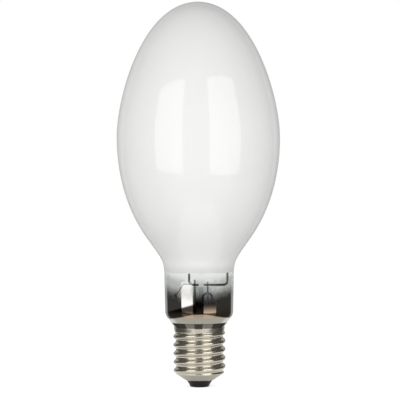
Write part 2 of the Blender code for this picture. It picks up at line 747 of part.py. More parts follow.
def upper_guide(parent, steel):
    """A pin from the top bar down into the open end of the upper niobium tube."""
    niobium_top = ARC_TOP + NIOBIUM_STICK_OUT
    wire("upper_guide", [
        Vector((0.0, 0.0, niobium_top - GUIDE_REACH)),
        Vector((0.0, 0.0, CROSSBAR_Z + 2 * FRAME_WIRE_RADIUS)),
    ], GUIDE_RADIUS, steel, parent)


def upper_strap(parent, nickel):
    """A bowed ribbon from the top bar to the niobium tube, which leaves the tube free to grow."""
    niobium_top = ARC_TOP + NIOBIUM_STICK_OUT
    start = NIOBIUM_RADIUS + GAP + STRAP_THICKNESS / 2
    path = rounded([
        (Vector((start, 0.0, niobium_top - STRAP_LAP)), 0.0),
        (Vector((start, 0.0, niobium_top)), STRAP_FOOT_BEND),
        (Vector((start + STRAP_BOW, 0.0, niobium_top + CROSSBAR_RISE / 2)), STRAP_BOW_BEND),
        (Vector((start + STRAP_BOW / 2, 0.0, CROSSBAR_Z + FRAME_WIRE_RADIUS)), 0.0),
    ])
    y = CROSSBAR_Y + FRAME_WIRE_RADIUS + GAP + STRAP_WIDTH / 2
    ribbon("upper_strap", path, y, STRAP_WIDTH, STRAP_THICKNESS, nickel, parent)


# Arc tube

def arc_tube(parent, alumina):
    half = ARC_TUBE_LENGTH / 2
    bore = ARC_TUBE_RADIUS - ARC_TUBE_WALL
    edge = ARC_TUBE_WALL / 4
    profile = [
        point(bore, -half),
        point(ARC_TUBE_RADIUS - edge, -half),
        point(ARC_TUBE_RADIUS, edge - half),
        point(ARC_TUBE_RADIUS, half - edge),
        point(ARC_TUBE_RADIUS - edge, half),
        point(bore, half),
    ]
    return turned("arc_tube", profile, SMALL_SIDES, alumina, parent, (0.0, 0.0, ARC_CENTRE))


def arc_tube_end(side, parent, alumina, niobium, tungsten):
    """Plug, niobium tube, electrode and coil. The parent's +Z points into the arc tube."""
    plug_radius = ARC_TUBE_RADIUS - ARC_TUBE_WALL - GAP
    plug_bore = NIOBIUM_RADIUS + GAP
    plug_end = PLUG_SINK + PLUG_THICKNESS
    turned(side + "_plug", [
        point(plug_bore, PLUG_SINK),
        point(plug_radius, PLUG_SINK),
        point(plug_radius, plug_end),
        point(plug_bore, plug_end),
    ], SMALL_SIDES, alumina, parent)
    niobium_end = plug_end + NIOBIUM_WALL
    bore = NIOBIUM_RADIUS - NIOBIUM_WALL
    turned(side + "_niobium_tube", [
        point(0.0, niobium_end),
        point(bore, niobium_end),
        point(NIOBIUM_RADIUS, niobium_end - NIOBIUM_WALL),
        point(NIOBIUM_RADIUS, -NIOBIUM_STICK_OUT),
        point(bore, -NIOBIUM_STICK_OUT),
        point(bore, niobium_end - 3 * NIOBIUM_WALL),
        point(0.0, niobium_end - 3 * NIOBIUM_WALL),
    ], 16, niobium, parent)
    rod_start = niobium_end + GAP
    rod_end = rod_start + ELECTRODE_LENGTH
    wire(side + "_electrode", [
        Vector((0.0, 0.0, rod_start)),
        Vector((0.0, 0.0, rod_end)),
    ], ELECTRODE_RADIUS, tungsten, parent)
    coil_radius = ELECTRODE_RADIUS + GAP + COIL_WIRE_RADIUS
    coil_end = rod_end - COIL_TIP_SETBACK
    steps = 8
    points = []
    for i in range(COIL_TURNS * steps + 1):
        a = math.tau * i / steps
        z = coil_end - COIL_PITCH * i / steps
        points.append(Vector((coil_radius * math.cos(a), coil_radius * math.sin(a), z)))
    wire(side + "_electrode_coil", points, COIL_WIRE_RADIUS, tungsten, parent, 1)


# Getters

def getter_ring(name, at, turn, parent, steel):
    """A ring of channel section. Its open side is its own +Z."""
    turned(name, [
        point(GETTER_HOLE_RADIUS, 0.0),
        point(GETTER_RADIUS, 0.0),
        point(GETTER_RADIUS, GETTER_DEPTH),
        point(GETTER_RADIUS - GETTER_SHEET, GETTER_DEPTH),
        point(GETTER_RADIUS - GETTER_SHEET, GETTER_SHEET),
        point(GETTER_HOLE_RADIUS + GETTER_SHEET, GETTER_SHEET),
        point(GETTER_HOLE_RADIUS + GETTER_SHEET, GETTER_DEPTH),
        point(GETTER_HOLE_RADIUS, GETTER_DEPTH),
    ], TINY_SIDES, steel, parent, at, turn)


def getters(parent, steel):
    """One ring faces the neck's left side and one its back, each on a wire from a lead."""
    height = FOOT_HEIGHT - GETTER_DROP
    start_y = LEAD_RADIUS + GETTER_WIRE_RADIUS + GAP
    start_z = FOOT_HEIGHT + GETTER_WIRE_RADIUS
    floor = NECK_BORE_RADIUS - GETTER_WALL_DISTANCE - GETTER_DEPTH
    wire_stand = floor - GAP - GETTER_WIRE_RADIUS
    side_y = start_y + GETTER_HOLE_RADIUS
    getter_ring("side_getter", (-floor, side_y, height), (0.0, -math.pi / 2, 0.0), parent, steel)
    mid_ring = (GETTER_RADIUS + GETTER_HOLE_RADIUS) / 2
    wire("side_getter_wire", rounded([
        (Vector((LEFT_LEAD_X, start_y, start_z)), 0.0),
        (Vector((-wire_stand + GETTER_RADIUS, side_y, start_z)), GETTER_WIRE_BEND),
        (Vector((-wire_stand, side_y, height + GETTER_RADIUS)), GETTER_WIRE_BEND),
        (Vector((-wire_stand, side_y, height + mid_ring - GETTER_SHEET)), 0.0),
    ]), GETTER_WIRE_RADIUS, steel, parent, 1)
    getter_ring("back_getter", (RIGHT_LEAD_X, floor, height), (-math.pi / 2, 0.0, 0.0),
                parent, steel)
    wire("back_getter_wire", rounded([
        (Vector((RIGHT_LEAD_X, start_y, start_z)), 0.0),
        (Vector((RIGHT_LEAD_X, wire_stand - GETTER_RADIUS, start_z)), GETTER_WIRE_BEND),
        (Vector((RIGHT_LEAD_X, wire_stand, height + GETTER_RADIUS)), GETTER_WIRE_BEND),
        (Vector((RIGHT_LEAD_X, wire_stand, height + mid_ring - GETTER_SHEET)), 0.0),
    ]), GETTER_WIRE_RADIUS, steel, parent, 1)


def empty(name, parent=None, at=(0.0, 0.0, 0.0), turn=(0.0, 0.0, 0.0)):
    made = bpy.data.objects.new(name, None)
    bpy.context.scene.collection.objects.link(made)
    made.parent = parent
    made.location = at
    made.rotation_euler = turn
    return made


def build():
    clear_scene()
    lamp = empty("lamp")
    coated_glass = finish("coated_glass", (0.86, 0.87, 0.84), 0.08, 0.0, 0.6)
    clear_glass = finish("clear_glass", (0.85, 0.9, 0.88), 0.05, 0.0, 0.35)
    black_glass = finish("black_glass", (0.02, 0.02, 0.022), 0.2)
    plated_brass = finish("plated_brass", (0.74, 0.7, 0.62), 0.25, 1.0)
    solder = finish("solder", (0.6, 0.61, 0.62), 0.35, 1.0)
    cement = finish("cement", (0.55, 0.52, 0.46), 0.9)
    nickel = finish("nickel_wire", (0.5, 0.49, 0.46), 0.35, 1.0)
    copper = finish("copper_wire", (0.72, 0.42, 0.3), 0.35, 1.0)
    steel = finish("frame_steel", (0.45, 0.44, 0.42), 0.35, 1.0)
    alumina = finish("alumina", (0.9, 0.89, 0.86), 0.4)
    niobium = finish("niobium", (0.42, 0.41, 0.4), 0.4, 1.0)
    tungsten = finish("tungsten", (0.25, 0.25, 0.26), 0.45, 1.0)

    outer_bulb(lamp, coated_glass)
    cap_shell(lamp, plated_brass)
    cap_insulator(lamp, black_glass)
    centre_contact(lamp, plated_brass)
    solder_joints(lamp, solder)
    basing_cement(lamp, cement)
    stem(lamp, clear_glass)
    exhaust_tube(lamp, clear_glass)
    leads(lamp, nickel)
    lead_tails(lamp, copper)
    frame_rail(lamp, steel)
    lower_support(lamp, steel)
    dome_springs(lamp, steel)
    upper_guide(lamp, steel)
    upper_strap(lamp, nickel)
    arc_tube(lamp, alumina)
    lower_end = empty("lower_end", lamp, (0.0, 0.0, ARC_BOTTOM))
    upper_end = empty("upper_end", lamp, (0.0, 0.0, ARC_TOP), (math.pi, 0.0, 0.0))
    arc_tube_end("lower", lower_end, alumina, niobium, tungsten)
    arc_tube_end("upper", upper_end, alumina, niobium, tungsten)
    getters(lamp, steel)


build()
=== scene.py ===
# %% [markdown]
# # A high pressure sodium lamp
#
# The lamp stands on its screw cap: a blown bulb with a white coat inside, a clear neck that
# a dark getter film covers from within, and a nickel plated screw. Its solids are already
# packed, in metres, with +Z up and the cap's contact at the origin. This lesson gives them
# their looks. It makes finer surfaces where the solids are plain, and writes a material for
# each finish.

# %% Load the frame
import json
import math

import bmesh
import bpy
import numpy as np
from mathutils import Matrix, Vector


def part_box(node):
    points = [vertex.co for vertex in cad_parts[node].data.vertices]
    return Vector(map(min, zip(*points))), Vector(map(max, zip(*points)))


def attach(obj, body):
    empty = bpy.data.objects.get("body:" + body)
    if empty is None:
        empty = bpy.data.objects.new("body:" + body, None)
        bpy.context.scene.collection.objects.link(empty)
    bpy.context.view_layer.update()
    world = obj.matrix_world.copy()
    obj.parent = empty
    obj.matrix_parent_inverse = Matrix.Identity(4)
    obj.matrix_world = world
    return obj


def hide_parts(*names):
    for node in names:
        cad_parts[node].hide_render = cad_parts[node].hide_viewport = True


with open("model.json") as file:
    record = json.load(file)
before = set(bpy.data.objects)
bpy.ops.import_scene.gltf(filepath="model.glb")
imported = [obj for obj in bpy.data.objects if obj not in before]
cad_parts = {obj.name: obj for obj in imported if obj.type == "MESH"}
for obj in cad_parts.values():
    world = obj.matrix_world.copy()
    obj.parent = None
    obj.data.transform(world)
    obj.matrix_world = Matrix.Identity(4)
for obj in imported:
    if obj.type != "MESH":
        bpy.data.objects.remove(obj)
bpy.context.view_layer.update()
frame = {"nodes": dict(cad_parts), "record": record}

print("nodes:", len(frame["nodes"]))

# %% [markdown]
# ## Sizes
#
# Whatever a solid can tell is read from its box, so the looks can't drift from the part.
# What a box can't tell, such as where a curve bends, is named here in metres. The coat's
# edge and the film's limits are finishes, so they exist only in this file.

# %% Sizes that the solids give
bulb_low, bulb_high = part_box("outer_bulb")
shell_low, shell_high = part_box("cap_shell")
rail_low, rail_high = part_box("frame_rail")
support_low, support_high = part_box("lower_support")
insulator_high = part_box("cap_insulator")[1]
BULB_RADIUS = bulb_high.x
LAMP_TOP = bulb_high.z
THROAT_END = bulb_low.z
CAP_LENGTH = shell_high.z
print("lamp height, mm:", round(LAMP_TOP * 1000, 1))

# %% Sizes that the solids share but a box can't give
BULB_WALL = 0.0010
DOME_HEIGHT = 0.1014
BELLY_HEIGHT = 0.0740
BELLY_FOOT_RADIUS = 0.0395
BELLY_FOOT_SLOPE = math.radians(34.8)
FILLET_HEIGHT = 0.0340
NECK_RADIUS = 0.0259
NECK_HEIGHT = 0.0245
NECK_TAPER = 0.0005
SHOULDER_SLOPE = math.radians(38.0)
SHOULDER_BEND = 0.0085
THROAT_RADIUS = 0.0150
THROAT_BEND = 0.0030
DOME_FLATNESS = 0.675
DOME_FULLNESS = 0.303
BELLY_FULLNESS = 0.257
BELLY_FOOT_REACH = 0.426
FILLET_FOOT_REACH = 0.667
FILLET_TOP_REACH = 0.506
WIDEST = LAMP_TOP - DOME_HEIGHT
BELLY_FOOT = WIDEST - BELLY_HEIGHT
NECK_TOP = BELLY_FOOT - FILLET_HEIGHT
SHOULDER_TOP = NECK_TOP - NECK_HEIGHT

# %% Heights where the finishes begin and end
COAT_EDGE = 0.0857
# Where the coat's colour turns greyer, just above its edge.
COAT_EDGE_GREYS = (0.0860, 0.0930)
FILM_VEIL = (0.0772, 0.0842)
FILM_BODY = (0.0617, 0.0762)
LEFT_MIRROR_FOOT = (0.0635, 0.0655)
LEFT_AMBER = (0.0542, 0.0588)
RIGHT_AMBER = (0.0540, 0.0642)
SHOULDER_FILM = (0.0522, 0.0540)
FOOT_FILM = (0.0474, 0.0486)
print("the coat ends", round(COAT_EDGE * 1000, 1), "mm up")

# %% [markdown]
# ## Making surfaces from grids
#
# Almost every part of a lamp is turned, rolled or drawn, so each is a grid of points: rows
# along a profile, columns round it. A grid could be filled one face at a time, but whole
# arrays are quicker and leave no odd faces. One helper makes the grid a mesh, and merges
# the points at a pole so that it closes.

# %% From a grid to a piece
def smooth_mesh(name, grid, closed=False, capped=False):
    """Quads join each row to the next and the last column to the first.

    closed also joins the last row to the first. capped fills the first and last rows.
    """
    rows, columns = grid.shape[:2]
    index = np.arange(rows * columns).reshape(rows, columns)
    lower = index if closed else index[:-1]
    upper = np.roll(index, -1, axis=0) if closed else index[1:]
    quads = np.stack([lower, np.roll(lower, -1, 1), np.roll(upper, -1, 1), upper], axis=-1)
    faces = quads.reshape(-1, 4).tolist()
    if capped:
        faces += [index[0][::-1].tolist(), index[-1].tolist()]
    mesh = bpy.data.meshes.new(name)
    mesh.from_pydata(grid.reshape(-1, 3).tolist(), [], faces)
    return mesh


def close_up(mesh, crease=35.0):
    """Merges points that lie together, turns faces outwards and shades them smooth."""
    bm = bmesh.new()
    bm.from_mesh(mesh)
    bmesh.ops.remove_doubles(bm, verts=bm.verts, dist=1e-7)
    bmesh.ops.recalc_face_normals(bm, faces=bm.faces)
    bm.to_mesh(mesh)
    bm.free()
    mesh.shade_smooth()
    mesh.set_sharp_from_angle(angle=math.radians(crease))


def add_piece(name, mesh, replaced=()):
    """Puts a mesh in the scene as a piece of the lamp."""
    made = bpy.data.objects.new(name, mesh)
    bpy.context.scene.collection.objects.link(made)
    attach(made, "root")
    if replaced:
        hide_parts(*replaced)
    print(name, len(mesh.polygons), "faces")
    return made


# %% Turning a profile
def turn_profile(profile, sides):
    """Each (radius, height) goes round the axis: x = radius cos a, y = radius sin a."""
    angle = np.arange(sides) * math.tau / sides
    radius = profile[:, 0:1]
    height = profile[:, 1:2] + 0.0 * angle
    return np.stack([radius * np.cos(angle), radius * np.sin(angle), height], axis=-1)


# %% Curves
def bezier(start, pull_start, pull_end, end, steps):
    """A cubic curve: the four points weighted by the Bernstein polynomials."""
    t = np.linspace(0.0, 1.0, steps + 1)[:, None]
    start, pull_start, pull_end, end = map(np.array, (start, pull_start, pull_end, end))
    return ((1 - t) ** 3 * start + 3 * t * (1 - t) ** 2 * pull_start
            + 3 * t ** 2 * (1 - t) * pull_end + t ** 3 * end)


def bend(before, corner, after, radius, steps=10):
    """The arc of this radius that rounds a corner, at equal angles from leg to leg."""
    before, corner, after = map(np.array, (before, corner, after))
    back = (before - corner) / np.linalg.norm(before - corner)
    ahead = (after - corner) / np.linalg.norm(after - corner)
    half = np.arccos(np.clip(back @ ahead, -1.0, 1.0)) / 2
    toward = (back + ahead) / np.linalg.norm(back + ahead)
    centre = corner + toward * radius / math.sin(half)
    first = (corner + back * radius / math.tan(half) - centre) / radius
    last = (corner + ahead * radius / math.tan(half) - centre) / radius
    sweep = np.arccos(np.clip(first @ last, -1.0, 1.0))
    t = np.linspace(0.0, 1.0, steps + 1)[:, None]
    mixed = np.sin((1 - t) * sweep) * first + np.sin(t * sweep) * last
    return centre + radius * mixed / math.sin(sweep)


def straight(start, end, steps):
    """Evenly spaced points from start to end."""
    t = np.linspace(0.0, 1.0, steps + 1)[:, None]
    return np.array(start) * (1 - t) + np.array(end) * t


def drop_repeats(points):
    """Leaves out a point that repeats the one before it."""
    gap = np.linalg.norm(np.diff(points, axis=0), axis=1)
    return points[np.concatenate([[True], gap > 1e-7])]


# %% [markdown]
# ## Node helpers
#
# A material here is a small tree of nodes. Patterns read Object coordinates, so they stay
# with the piece from every side.

# %% Helpers for materials
WHITE = (1.0, 1.0, 1.0, 1.0)


def new_material(name):
    """A material with no nodes yet, and its tree."""
    made = bpy.data.materials.new(name)
    made.use_nodes = True
    made.node_tree.nodes.clear()
    return made, made.node_tree


def feed(tree, socket, value):
    """Links the socket to another one, or sets it to a plain value."""
    if isinstance(value, bpy.types.NodeSocket):
        tree.links.new(value, socket)
    else:
        socket.default_value = value


def put(tree, kind, **inputs):
    """A node of this kind, with its inputs fed by name."""
    made = tree.nodes.new(kind)
    for name, value in inputs.items():
        feed(tree, made.inputs[name.replace("_", " ")], value)
    return made


def calculate(tree, operation, first, second=0.0, third=0.0):
    """A Math node's result."""
    made = tree.nodes.new("ShaderNodeMath")
    made.operation = operation
    for socket, value in zip(made.inputs, (first, second, third)):
        feed(tree, socket, value)
    return made.outputs[0]


def ramp(tree, value, low, high, at_low=0.0, at_high=1.0, way="SMOOTHSTEP"):
    """From at_low to at_high as the value goes from low to high, smoothly or straight."""
    made = put(tree, "ShaderNodeMapRange", Value=value, From_Min=low, From_Max=high,
               To_Min=at_low, To_Max=at_high)
    made.interpolation_type = way
    return made.outputs["Result"]


def object_place(tree):
    """Object coordinates, whole and apart as X, Y and Z."""
    place = tree.nodes.new("ShaderNodeTexCoord").outputs["Object"]
    return place, put(tree, "ShaderNodeSeparateXYZ", Vector=place).outputs


def noise(tree, place, scale, detail=3.0):
    """A Noise Texture's value, from 0 to 1, with this many grains to the metre."""
    made = put(tree, "ShaderNodeTexNoise", Vector=place, Scale=scale, Detail=detail)
    return made.outputs["Fac"]


def bump(tree, height, strength, distance):
    """The surface's normal, turned by the slope of height times distance."""
    return put(tree, "ShaderNodeBump", Height=height, Strength=strength,
               Distance=distance).outputs["Normal"]


# %% Helpers that blend and finish
def blend_colours(tree, share, first, second):
    """One colour where share is 0, the other where it is 1."""
    made = tree.nodes.new("ShaderNodeMix")
    made.data_type = "RGBA"
    tree.links.new(share, made.inputs["Factor"])
    for socket, value in ((made.inputs[6], first), (made.inputs[7], second)):
        feed(tree, socket, (*value, 1.0) if isinstance(value, tuple) else value)
    return made.outputs[2]


def mix_shaders(tree, share, first, second):
    """One shader node where share is 0, the other where it is 1."""
    made = tree.nodes.new("ShaderNodeMixShader")
    for socket, value in zip(made.inputs, (share, first.outputs[0], second.outputs[0])):
        feed(tree, socket, value)
    return made


def facing_share(tree):
    """0 where the surface faces the eye, 1 where it turns away from it."""
    return put(tree, "ShaderNodeLayerWeight", Blend=0.5).outputs["Facing"]


def finish_with(tree, shader):
    """Links the last shader to the material's output."""
    put(tree, "ShaderNodeOutputMaterial", Surface=shader.outputs[0])


# %% [markdown]
# ## Camera
#
# The picture is 400 pixels square. Measuring it gives about 0.748 mm a pixel at the lamp's
# axis, a level view at about half the lamp's height, and a lean of 0.3 degrees. The lens is
# long, so the rims of the cap sag only a little.

# %% Camera
PIXEL = 0.000748
PICTURE_PIXELS = 400.0
FOCAL_PIXELS = 1500.0
AXIS_LEFT_PIXELS = 1.35
HEIGHT_PIXELS = 186.5
LEAN = math.radians(0.3)
eye = bpy.data.cameras.new("photo_camera")
eye.sensor_width = 36.0
eye.lens = eye.sensor_width * FOCAL_PIXELS / PICTURE_PIXELS
camera = bpy.data.objects.new("photo_camera", eye)
camera.location = (AXIS_LEFT_PIXELS * PIXEL, -FOCAL_PIXELS * PIXEL, HEIGHT_PIXELS * PIXEL)
camera.rotation_euler = (math.pi / 2, LEAN, 0.0)
bpy.context.scene.collection.objects.link(camera)
bpy.context.scene.camera = camera
print("camera distance, m:", round(FOCAL_PIXELS * PIXEL, 3))

# %% [markdown]
# ## Studio
#
# The bulb mirrors two upright softboxes, one on each side of the camera. They could be
# placed by eye, but a curved mirror tells where they stand, because a mirrored ray turns by
# twice the angle that the glass does. So each softbox is set by two points on the floor,
# under its upright edges. The outer edges stand farther off, and that makes the tops of
# both reflections slant. The camera sees only the reflections.

# %% Softboxes
SOFTBOX_FOOT = 0.014
SOFTBOX_TOP = 0.523
SOFTBOX_RADIANCE = 1.78
LEFT_OUTER_EDGE = (-60.2, 0.620)
LEFT_INNER_EDGE = (-20.7, 0.450)
RIGHT_INNER_EDGE = (14.8, 0.440)
RIGHT_OUTER_EDGE = (57.6, 0.500)


def ground_point(degrees, distance):
    """The point at this angle from the camera's direction, right positive, on the floor."""
    angle = math.radians(degrees)
    return np.array([distance * math.sin(angle), -distance * math.cos(angle)])


def softbox(name, left, right):
    """An upright area light whose lower corners stand over two floor points."""
    across = right - left
    width = float(np.linalg.norm(across))
    height = SOFTBOX_TOP - SOFTBOX_FOOT
    light = bpy.data.lights.new(name, "AREA")
    light.shape = "RECTANGLE"
    light.size = width
    light.size_y = height
    light.energy = SOFTBOX_RADIANCE * math.pi * width * height
    made = bpy.data.objects.new(name, light)
    made.location = (*((left + right) / 2), (SOFTBOX_FOOT + SOFTBOX_TOP) / 2)
    made.rotation_euler = (math.pi / 2, 0.0, math.atan2(across[1], across[0]))
    made.visible_camera = False
    bpy.context.scene.collection.objects.link(made)
    print(name, "is", round(width, 3), "m wide")


softbox("left_softbox", ground_point(*LEFT_OUTER_EDGE), ground_point(*LEFT_INNER_EDGE))
softbox("right_softbox", ground_point(*RIGHT_INNER_EDGE), ground_point(*RIGHT_OUTER_EDGE))

# %% [markdown]
# ### World
#
# One world could light everything alike, but then metal and film would have nothing dark to
# show. So it asks the Light Path which ray it meets. The camera and a view through glass get
# plain white. A matt surface gets a soft fill, stronger from the left and from above. What
# mirrors gets a dark room in front and the pale sweep of a backdrop behind.

# %% World
FILL = 0.37
LEFT_FILL = 0.30
TOP_FILL = 0.04
ROOM = 0.055
BEHIND = 0.47
FILL_FADES = (-0.9, 0.1)
TOP_GROWS = (0.2, 1.0)
BACKDROP_EDGE = (0.62, 0.73)
world = bpy.data.worlds.new("studio")
bpy.context.scene.world = world
world.use_nodes = True
sky = world.node_tree
sky.nodes.clear()
rays = sky.nodes.new("ShaderNodeLightPath").outputs
direction = put(sky, "ShaderNodeSeparateXYZ",
                Vector=sky.nodes.new("ShaderNodeTexCoord").outputs["Generated"]).outputs
backdrop = ramp(sky, direction["Y"], *BACKDROP_EDGE, ROOM, BEHIND)
from_left = ramp(sky, direction["X"], *FILL_FADES, FILL + LEFT_FILL, FILL)
from_above = ramp(sky, direction["Z"], *TOP_GROWS, 0.0, TOP_FILL)
fill = calculate(sky, "ADD", from_left, from_above)
seen = calculate(sky, "MAXIMUM", rays["Is Camera Ray"], rays["Is Transmission Ray"])
mirrored = calculate(sky, "MULTIPLY", rays["Is Glossy Ray"], backdrop)
seen_or_mirrored = calculate(sky, "MAXIMUM", seen, rays["Is Glossy Ray"])
matt_ray = calculate(sky, "SUBTRACT", 1.0, seen_or_mirrored)
strength = calculate(sky, "MULTIPLY_ADD", matt_ray, fill,
                     calculate(sky, "MAXIMUM", seen, mirrored))
sky_light = put(sky, "ShaderNodeBackground", Color=WHITE, Strength=strength)
put(sky, "ShaderNodeOutputWorld", Surface=sky_light.outputs[0])
bpy.context.scene.view_settings.view_transform = "Standard"
print("fill from the left and from the right:", round(FILL + LEFT_FILL, 2), FILL)

# %% [markdown]
# ### Floor
#
# The lamp stands on white paper. The camera sees the paper almost burnt out, so only the
# lamp's shadow is left on it, and matt surfaces get a little light back from it. Film and
# metal mirror another floor: a white, slightly shiny strip under the lamp, with a painted
# shadow that dims it close round the lamp's foot, the dark room past the strip's sides and
# front, and the sweep of the backdrop behind. Two floors could be made, but one large sheet
# can hold both shaders.

# %% The sheet of paper
PAPER_SIZE = 8.0
PAPER_DROP = 0.0001
half_paper = PAPER_SIZE / 2
floor_mesh = bpy.data.meshes.new("floor")
floor_mesh.from_pydata(
    [(x * half_paper, y * half_paper, -PAPER_DROP) for x, y in
     ((-1, -1), (1, -1), (1, 1), (-1, 1))], [], [(0, 1, 2, 3)])
floor = bpy.data.objects.new("floor", floor_mesh)
bpy.context.scene.collection.objects.link(floor)
print("paper, m:", PAPER_SIZE)

# %% The paper that the camera sees
PAPER_GLOW = 0.66
PAPER_BOUNCE = 0.13


def paper_for_eyes(tree, place, rays):
    """Matt white paper, with a glow for the camera and a weaker one for matt surfaces."""
    paper = blend_colours(tree, noise(tree, place, 40.0), (0.80, 0.80, 0.795),
                          (0.82, 0.82, 0.815))
    matt = put(tree, "ShaderNodeBsdfDiffuse", Color=paper)
    shown = calculate(tree, "MAXIMUM", rays["Is Camera Ray"], rays["Is Transmission Ray"])
    bounced = calculate(tree, "MULTIPLY", rays["Is Diffuse Ray"], PAPER_BOUNCE)
    glow = put(tree, "ShaderNodeEmission", Color=WHITE,
               Strength=calculate(tree, "MULTIPLY_ADD", shown, PAPER_GLOW, bounced))
    both = tree.nodes.new("ShaderNodeAddShader")
    tree.links.new(matt.outputs[0], both.inputs[0])
    tree.links.new(glow.outputs[0], both.inputs[1])
    return both


# %% The floor that film and metal mirror
STRIP_MIDDLE = 0.005
STRIP_SIDE = (0.0756, 0.0924)
STRIP_FRONT = (-0.2376, -0.1944)
STRIP_GLOW = 1.00
FAR_GLOW = 0.05
# Painted shadow round the lamp's foot on the mirrored strip: how far it reaches, then its share
# of the glow.
UNDER_LAMP = (0.012, 0.034)
UNDER_LAMP_PAINTED_SHADE = 0.55
SWEEP_EDGE = (-0.03, 0.03)
PAPER_SHINE = 0.10


def paper_for_mirrors(tree, place, axes):
    """The strip's glow is side x front x a painted shadow at the lamp's foot. The sweep begins
    where Y passes |X|.
    """
    off_middle = calculate(tree, "SUBTRACT", axes["X"], STRIP_MIDDLE)
    side = ramp(tree, calculate(tree, "ABSOLUTE", off_middle), *STRIP_SIDE, 1.0, 0.0)
    front = ramp(tree, axes["Y"], *STRIP_FRONT)
    distance = tree.nodes.new("ShaderNodeVectorMath")
    distance.operation = "LENGTH"
    tree.links.new(place, distance.inputs[0])
    # Painted shadow: the strip's glow dims close round the lamp's foot.
    foot = ramp(tree, distance.outputs["Value"], *UNDER_LAMP, UNDER_LAMP_PAINTED_SHADE, 1.0)
    strip = calculate(tree, "MULTIPLY", calculate(tree, "MULTIPLY", side, front), foot)
    strip_light = calculate(tree, "MULTIPLY_ADD", strip, STRIP_GLOW - FAR_GLOW, FAR_GLOW)
    past_lamp = calculate(tree, "SUBTRACT", axes["Y"],
                          calculate(tree, "ABSOLUTE", axes["X"]))
    sweep_light = ramp(tree, past_lamp, *SWEEP_EDGE, 0.0, BEHIND)
    glow = put(tree, "ShaderNodeEmission", Color=WHITE,
               Strength=calculate(tree, "MAXIMUM", strip_light, sweep_light))
    shine = put(tree, "ShaderNodeBsdfGlossy", Color=WHITE, Roughness=0.05)
    return mix_shaders(tree, PAPER_SHINE, glow, shine)


# %% The floor's material
def floor_paper():
    """A mirrored ray meets one shader, and every other ray meets the other."""
    made, tree = new_material("floor_paper")
    place, axes = object_place(tree)
    rays = tree.nodes.new("ShaderNodeLightPath").outputs
    finish_with(tree, mix_shaders(tree, rays["Is Glossy Ray"],
                                  paper_for_eyes(tree, place, rays),
                                  paper_for_mirrors(tree, place, axes)))
    return made


floor_mesh.materials.append(floor_paper())

# %% [markdown]
# ## The bulb's glass
#
# The bulb is blown in a mould, so it is the same all round: its outline turned about the
# axis. The outline is three curves for dome, belly and waist, then a straight neck and the
# shoulder that goes down into the cap. The wall is a second outline 1 mm inside, so that
# the neck shows real thickness. Four finishes share the mesh: coated and filmed glass
# outside, powder and bare glass inside.

# %% The bulb's outline
def bulb_outline():
    """Three cubic curves, then straight lines with rounded corners, from crown to throat."""
    down = np.array([-math.sin(BELLY_FOOT_SLOPE), -math.cos(BELLY_FOOT_SLOPE)])
    crown = np.array([0.0, LAMP_TOP])
    widest = np.array([BULB_RADIUS, WIDEST])
    belly_foot = np.array([BELLY_FOOT_RADIUS, BELLY_FOOT])
    neck_top = np.array([NECK_RADIUS, NECK_TOP])
    dome = bezier(crown, (DOME_FLATNESS * BULB_RADIUS, LAMP_TOP),
                  (BULB_RADIUS, WIDEST + DOME_FULLNESS * DOME_HEIGHT), widest, 56)
    belly = bezier(widest, (BULB_RADIUS, WIDEST - BELLY_FULLNESS * BELLY_HEIGHT),
                   belly_foot - down * BELLY_FOOT_REACH * BELLY_HEIGHT, belly_foot, 36)
    waist = bezier(belly_foot, belly_foot + down * FILLET_FOOT_REACH * FILLET_HEIGHT,
                   neck_top + np.array([0.0, FILLET_TOP_REACH * FILLET_HEIGHT]), neck_top, 30)
    neck_foot = (NECK_RADIUS - NECK_TAPER, SHOULDER_TOP)
    throat_top_z = SHOULDER_TOP - (neck_foot[0] - THROAT_RADIUS) / math.tan(SHOULDER_SLOPE)
    throat_top = (THROAT_RADIUS, throat_top_z)
    shoulder = bend(neck_top, neck_foot, throat_top, SHOULDER_BEND, 14)
    throat = bend(neck_foot, throat_top, (THROAT_RADIUS, THROAT_END), THROAT_BEND, 8)
    return drop_repeats(np.concatenate([
        dome, belly, waist, straight(neck_top, shoulder[0], 12), shoulder,
        straight(shoulder[-1], throat[0], 10), throat,
        straight(throat[-1], (THROAT_RADIUS, THROAT_END), 6),
    ]))


def moved_in(outline, distance):
    """Each point moves square to the outline's run, towards the axis side."""
    run = np.gradient(outline, axis=0)
    across = np.stack([run[:, 1], -run[:, 0]], axis=1)
    across /= np.linalg.norm(across, axis=1)[:, None]
    moved = outline + across * distance
    moved[:, 0] = np.maximum(moved[:, 0], 0.0)
    return moved


def snap_row(outline, height):
    """Puts the nearest row exactly at this height, so that a finish can end there."""
    snapped = outline.copy()
    snapped[np.argmin(np.abs(outline[:, 1] - height)), 1] = height
    return snapped


outer_line = snap_row(bulb_outline(), COAT_EDGE)
inner_line = moved_in(outer_line, BULB_WALL)
inner_line[0] = (0.0, LAMP_TOP - BULB_WALL)
inner_line[-1, 1] = THROAT_END
print("outline rows:", len(outer_line))

# %% [markdown]
# ### Coated glass
#
# The coat is a white powder on the inner side, seen through glossy glass. Glass over a
# diffuse layer could be traced as two surfaces, but light would then have to find its way
# through the wall. One surface that is white and matt inside its gloss looks the same and
# stays clean. Just above its edge the coat is greyer. Towards the bulb's outline it turns a
# darker grey green. Part of that is the glass's own slight green, seen along the wall, and
# part is painted shade in place of the studio that the rim's glass refracts.

# %% Coated glass
COAT_EDGE_GREY = (0.56, 0.57, 0.55)
COAT_EDGE_GREY_SHARE = 0.5
# The outline's grey green: the glass's own green, darkened as painted shade.
RIM_GREEN_SHADE = (0.56, 0.60, 0.54)
RIM_GREEN_SHADE_SHARE = 0.55
RIM_SHADE_GROWS = (0.62, 0.97)


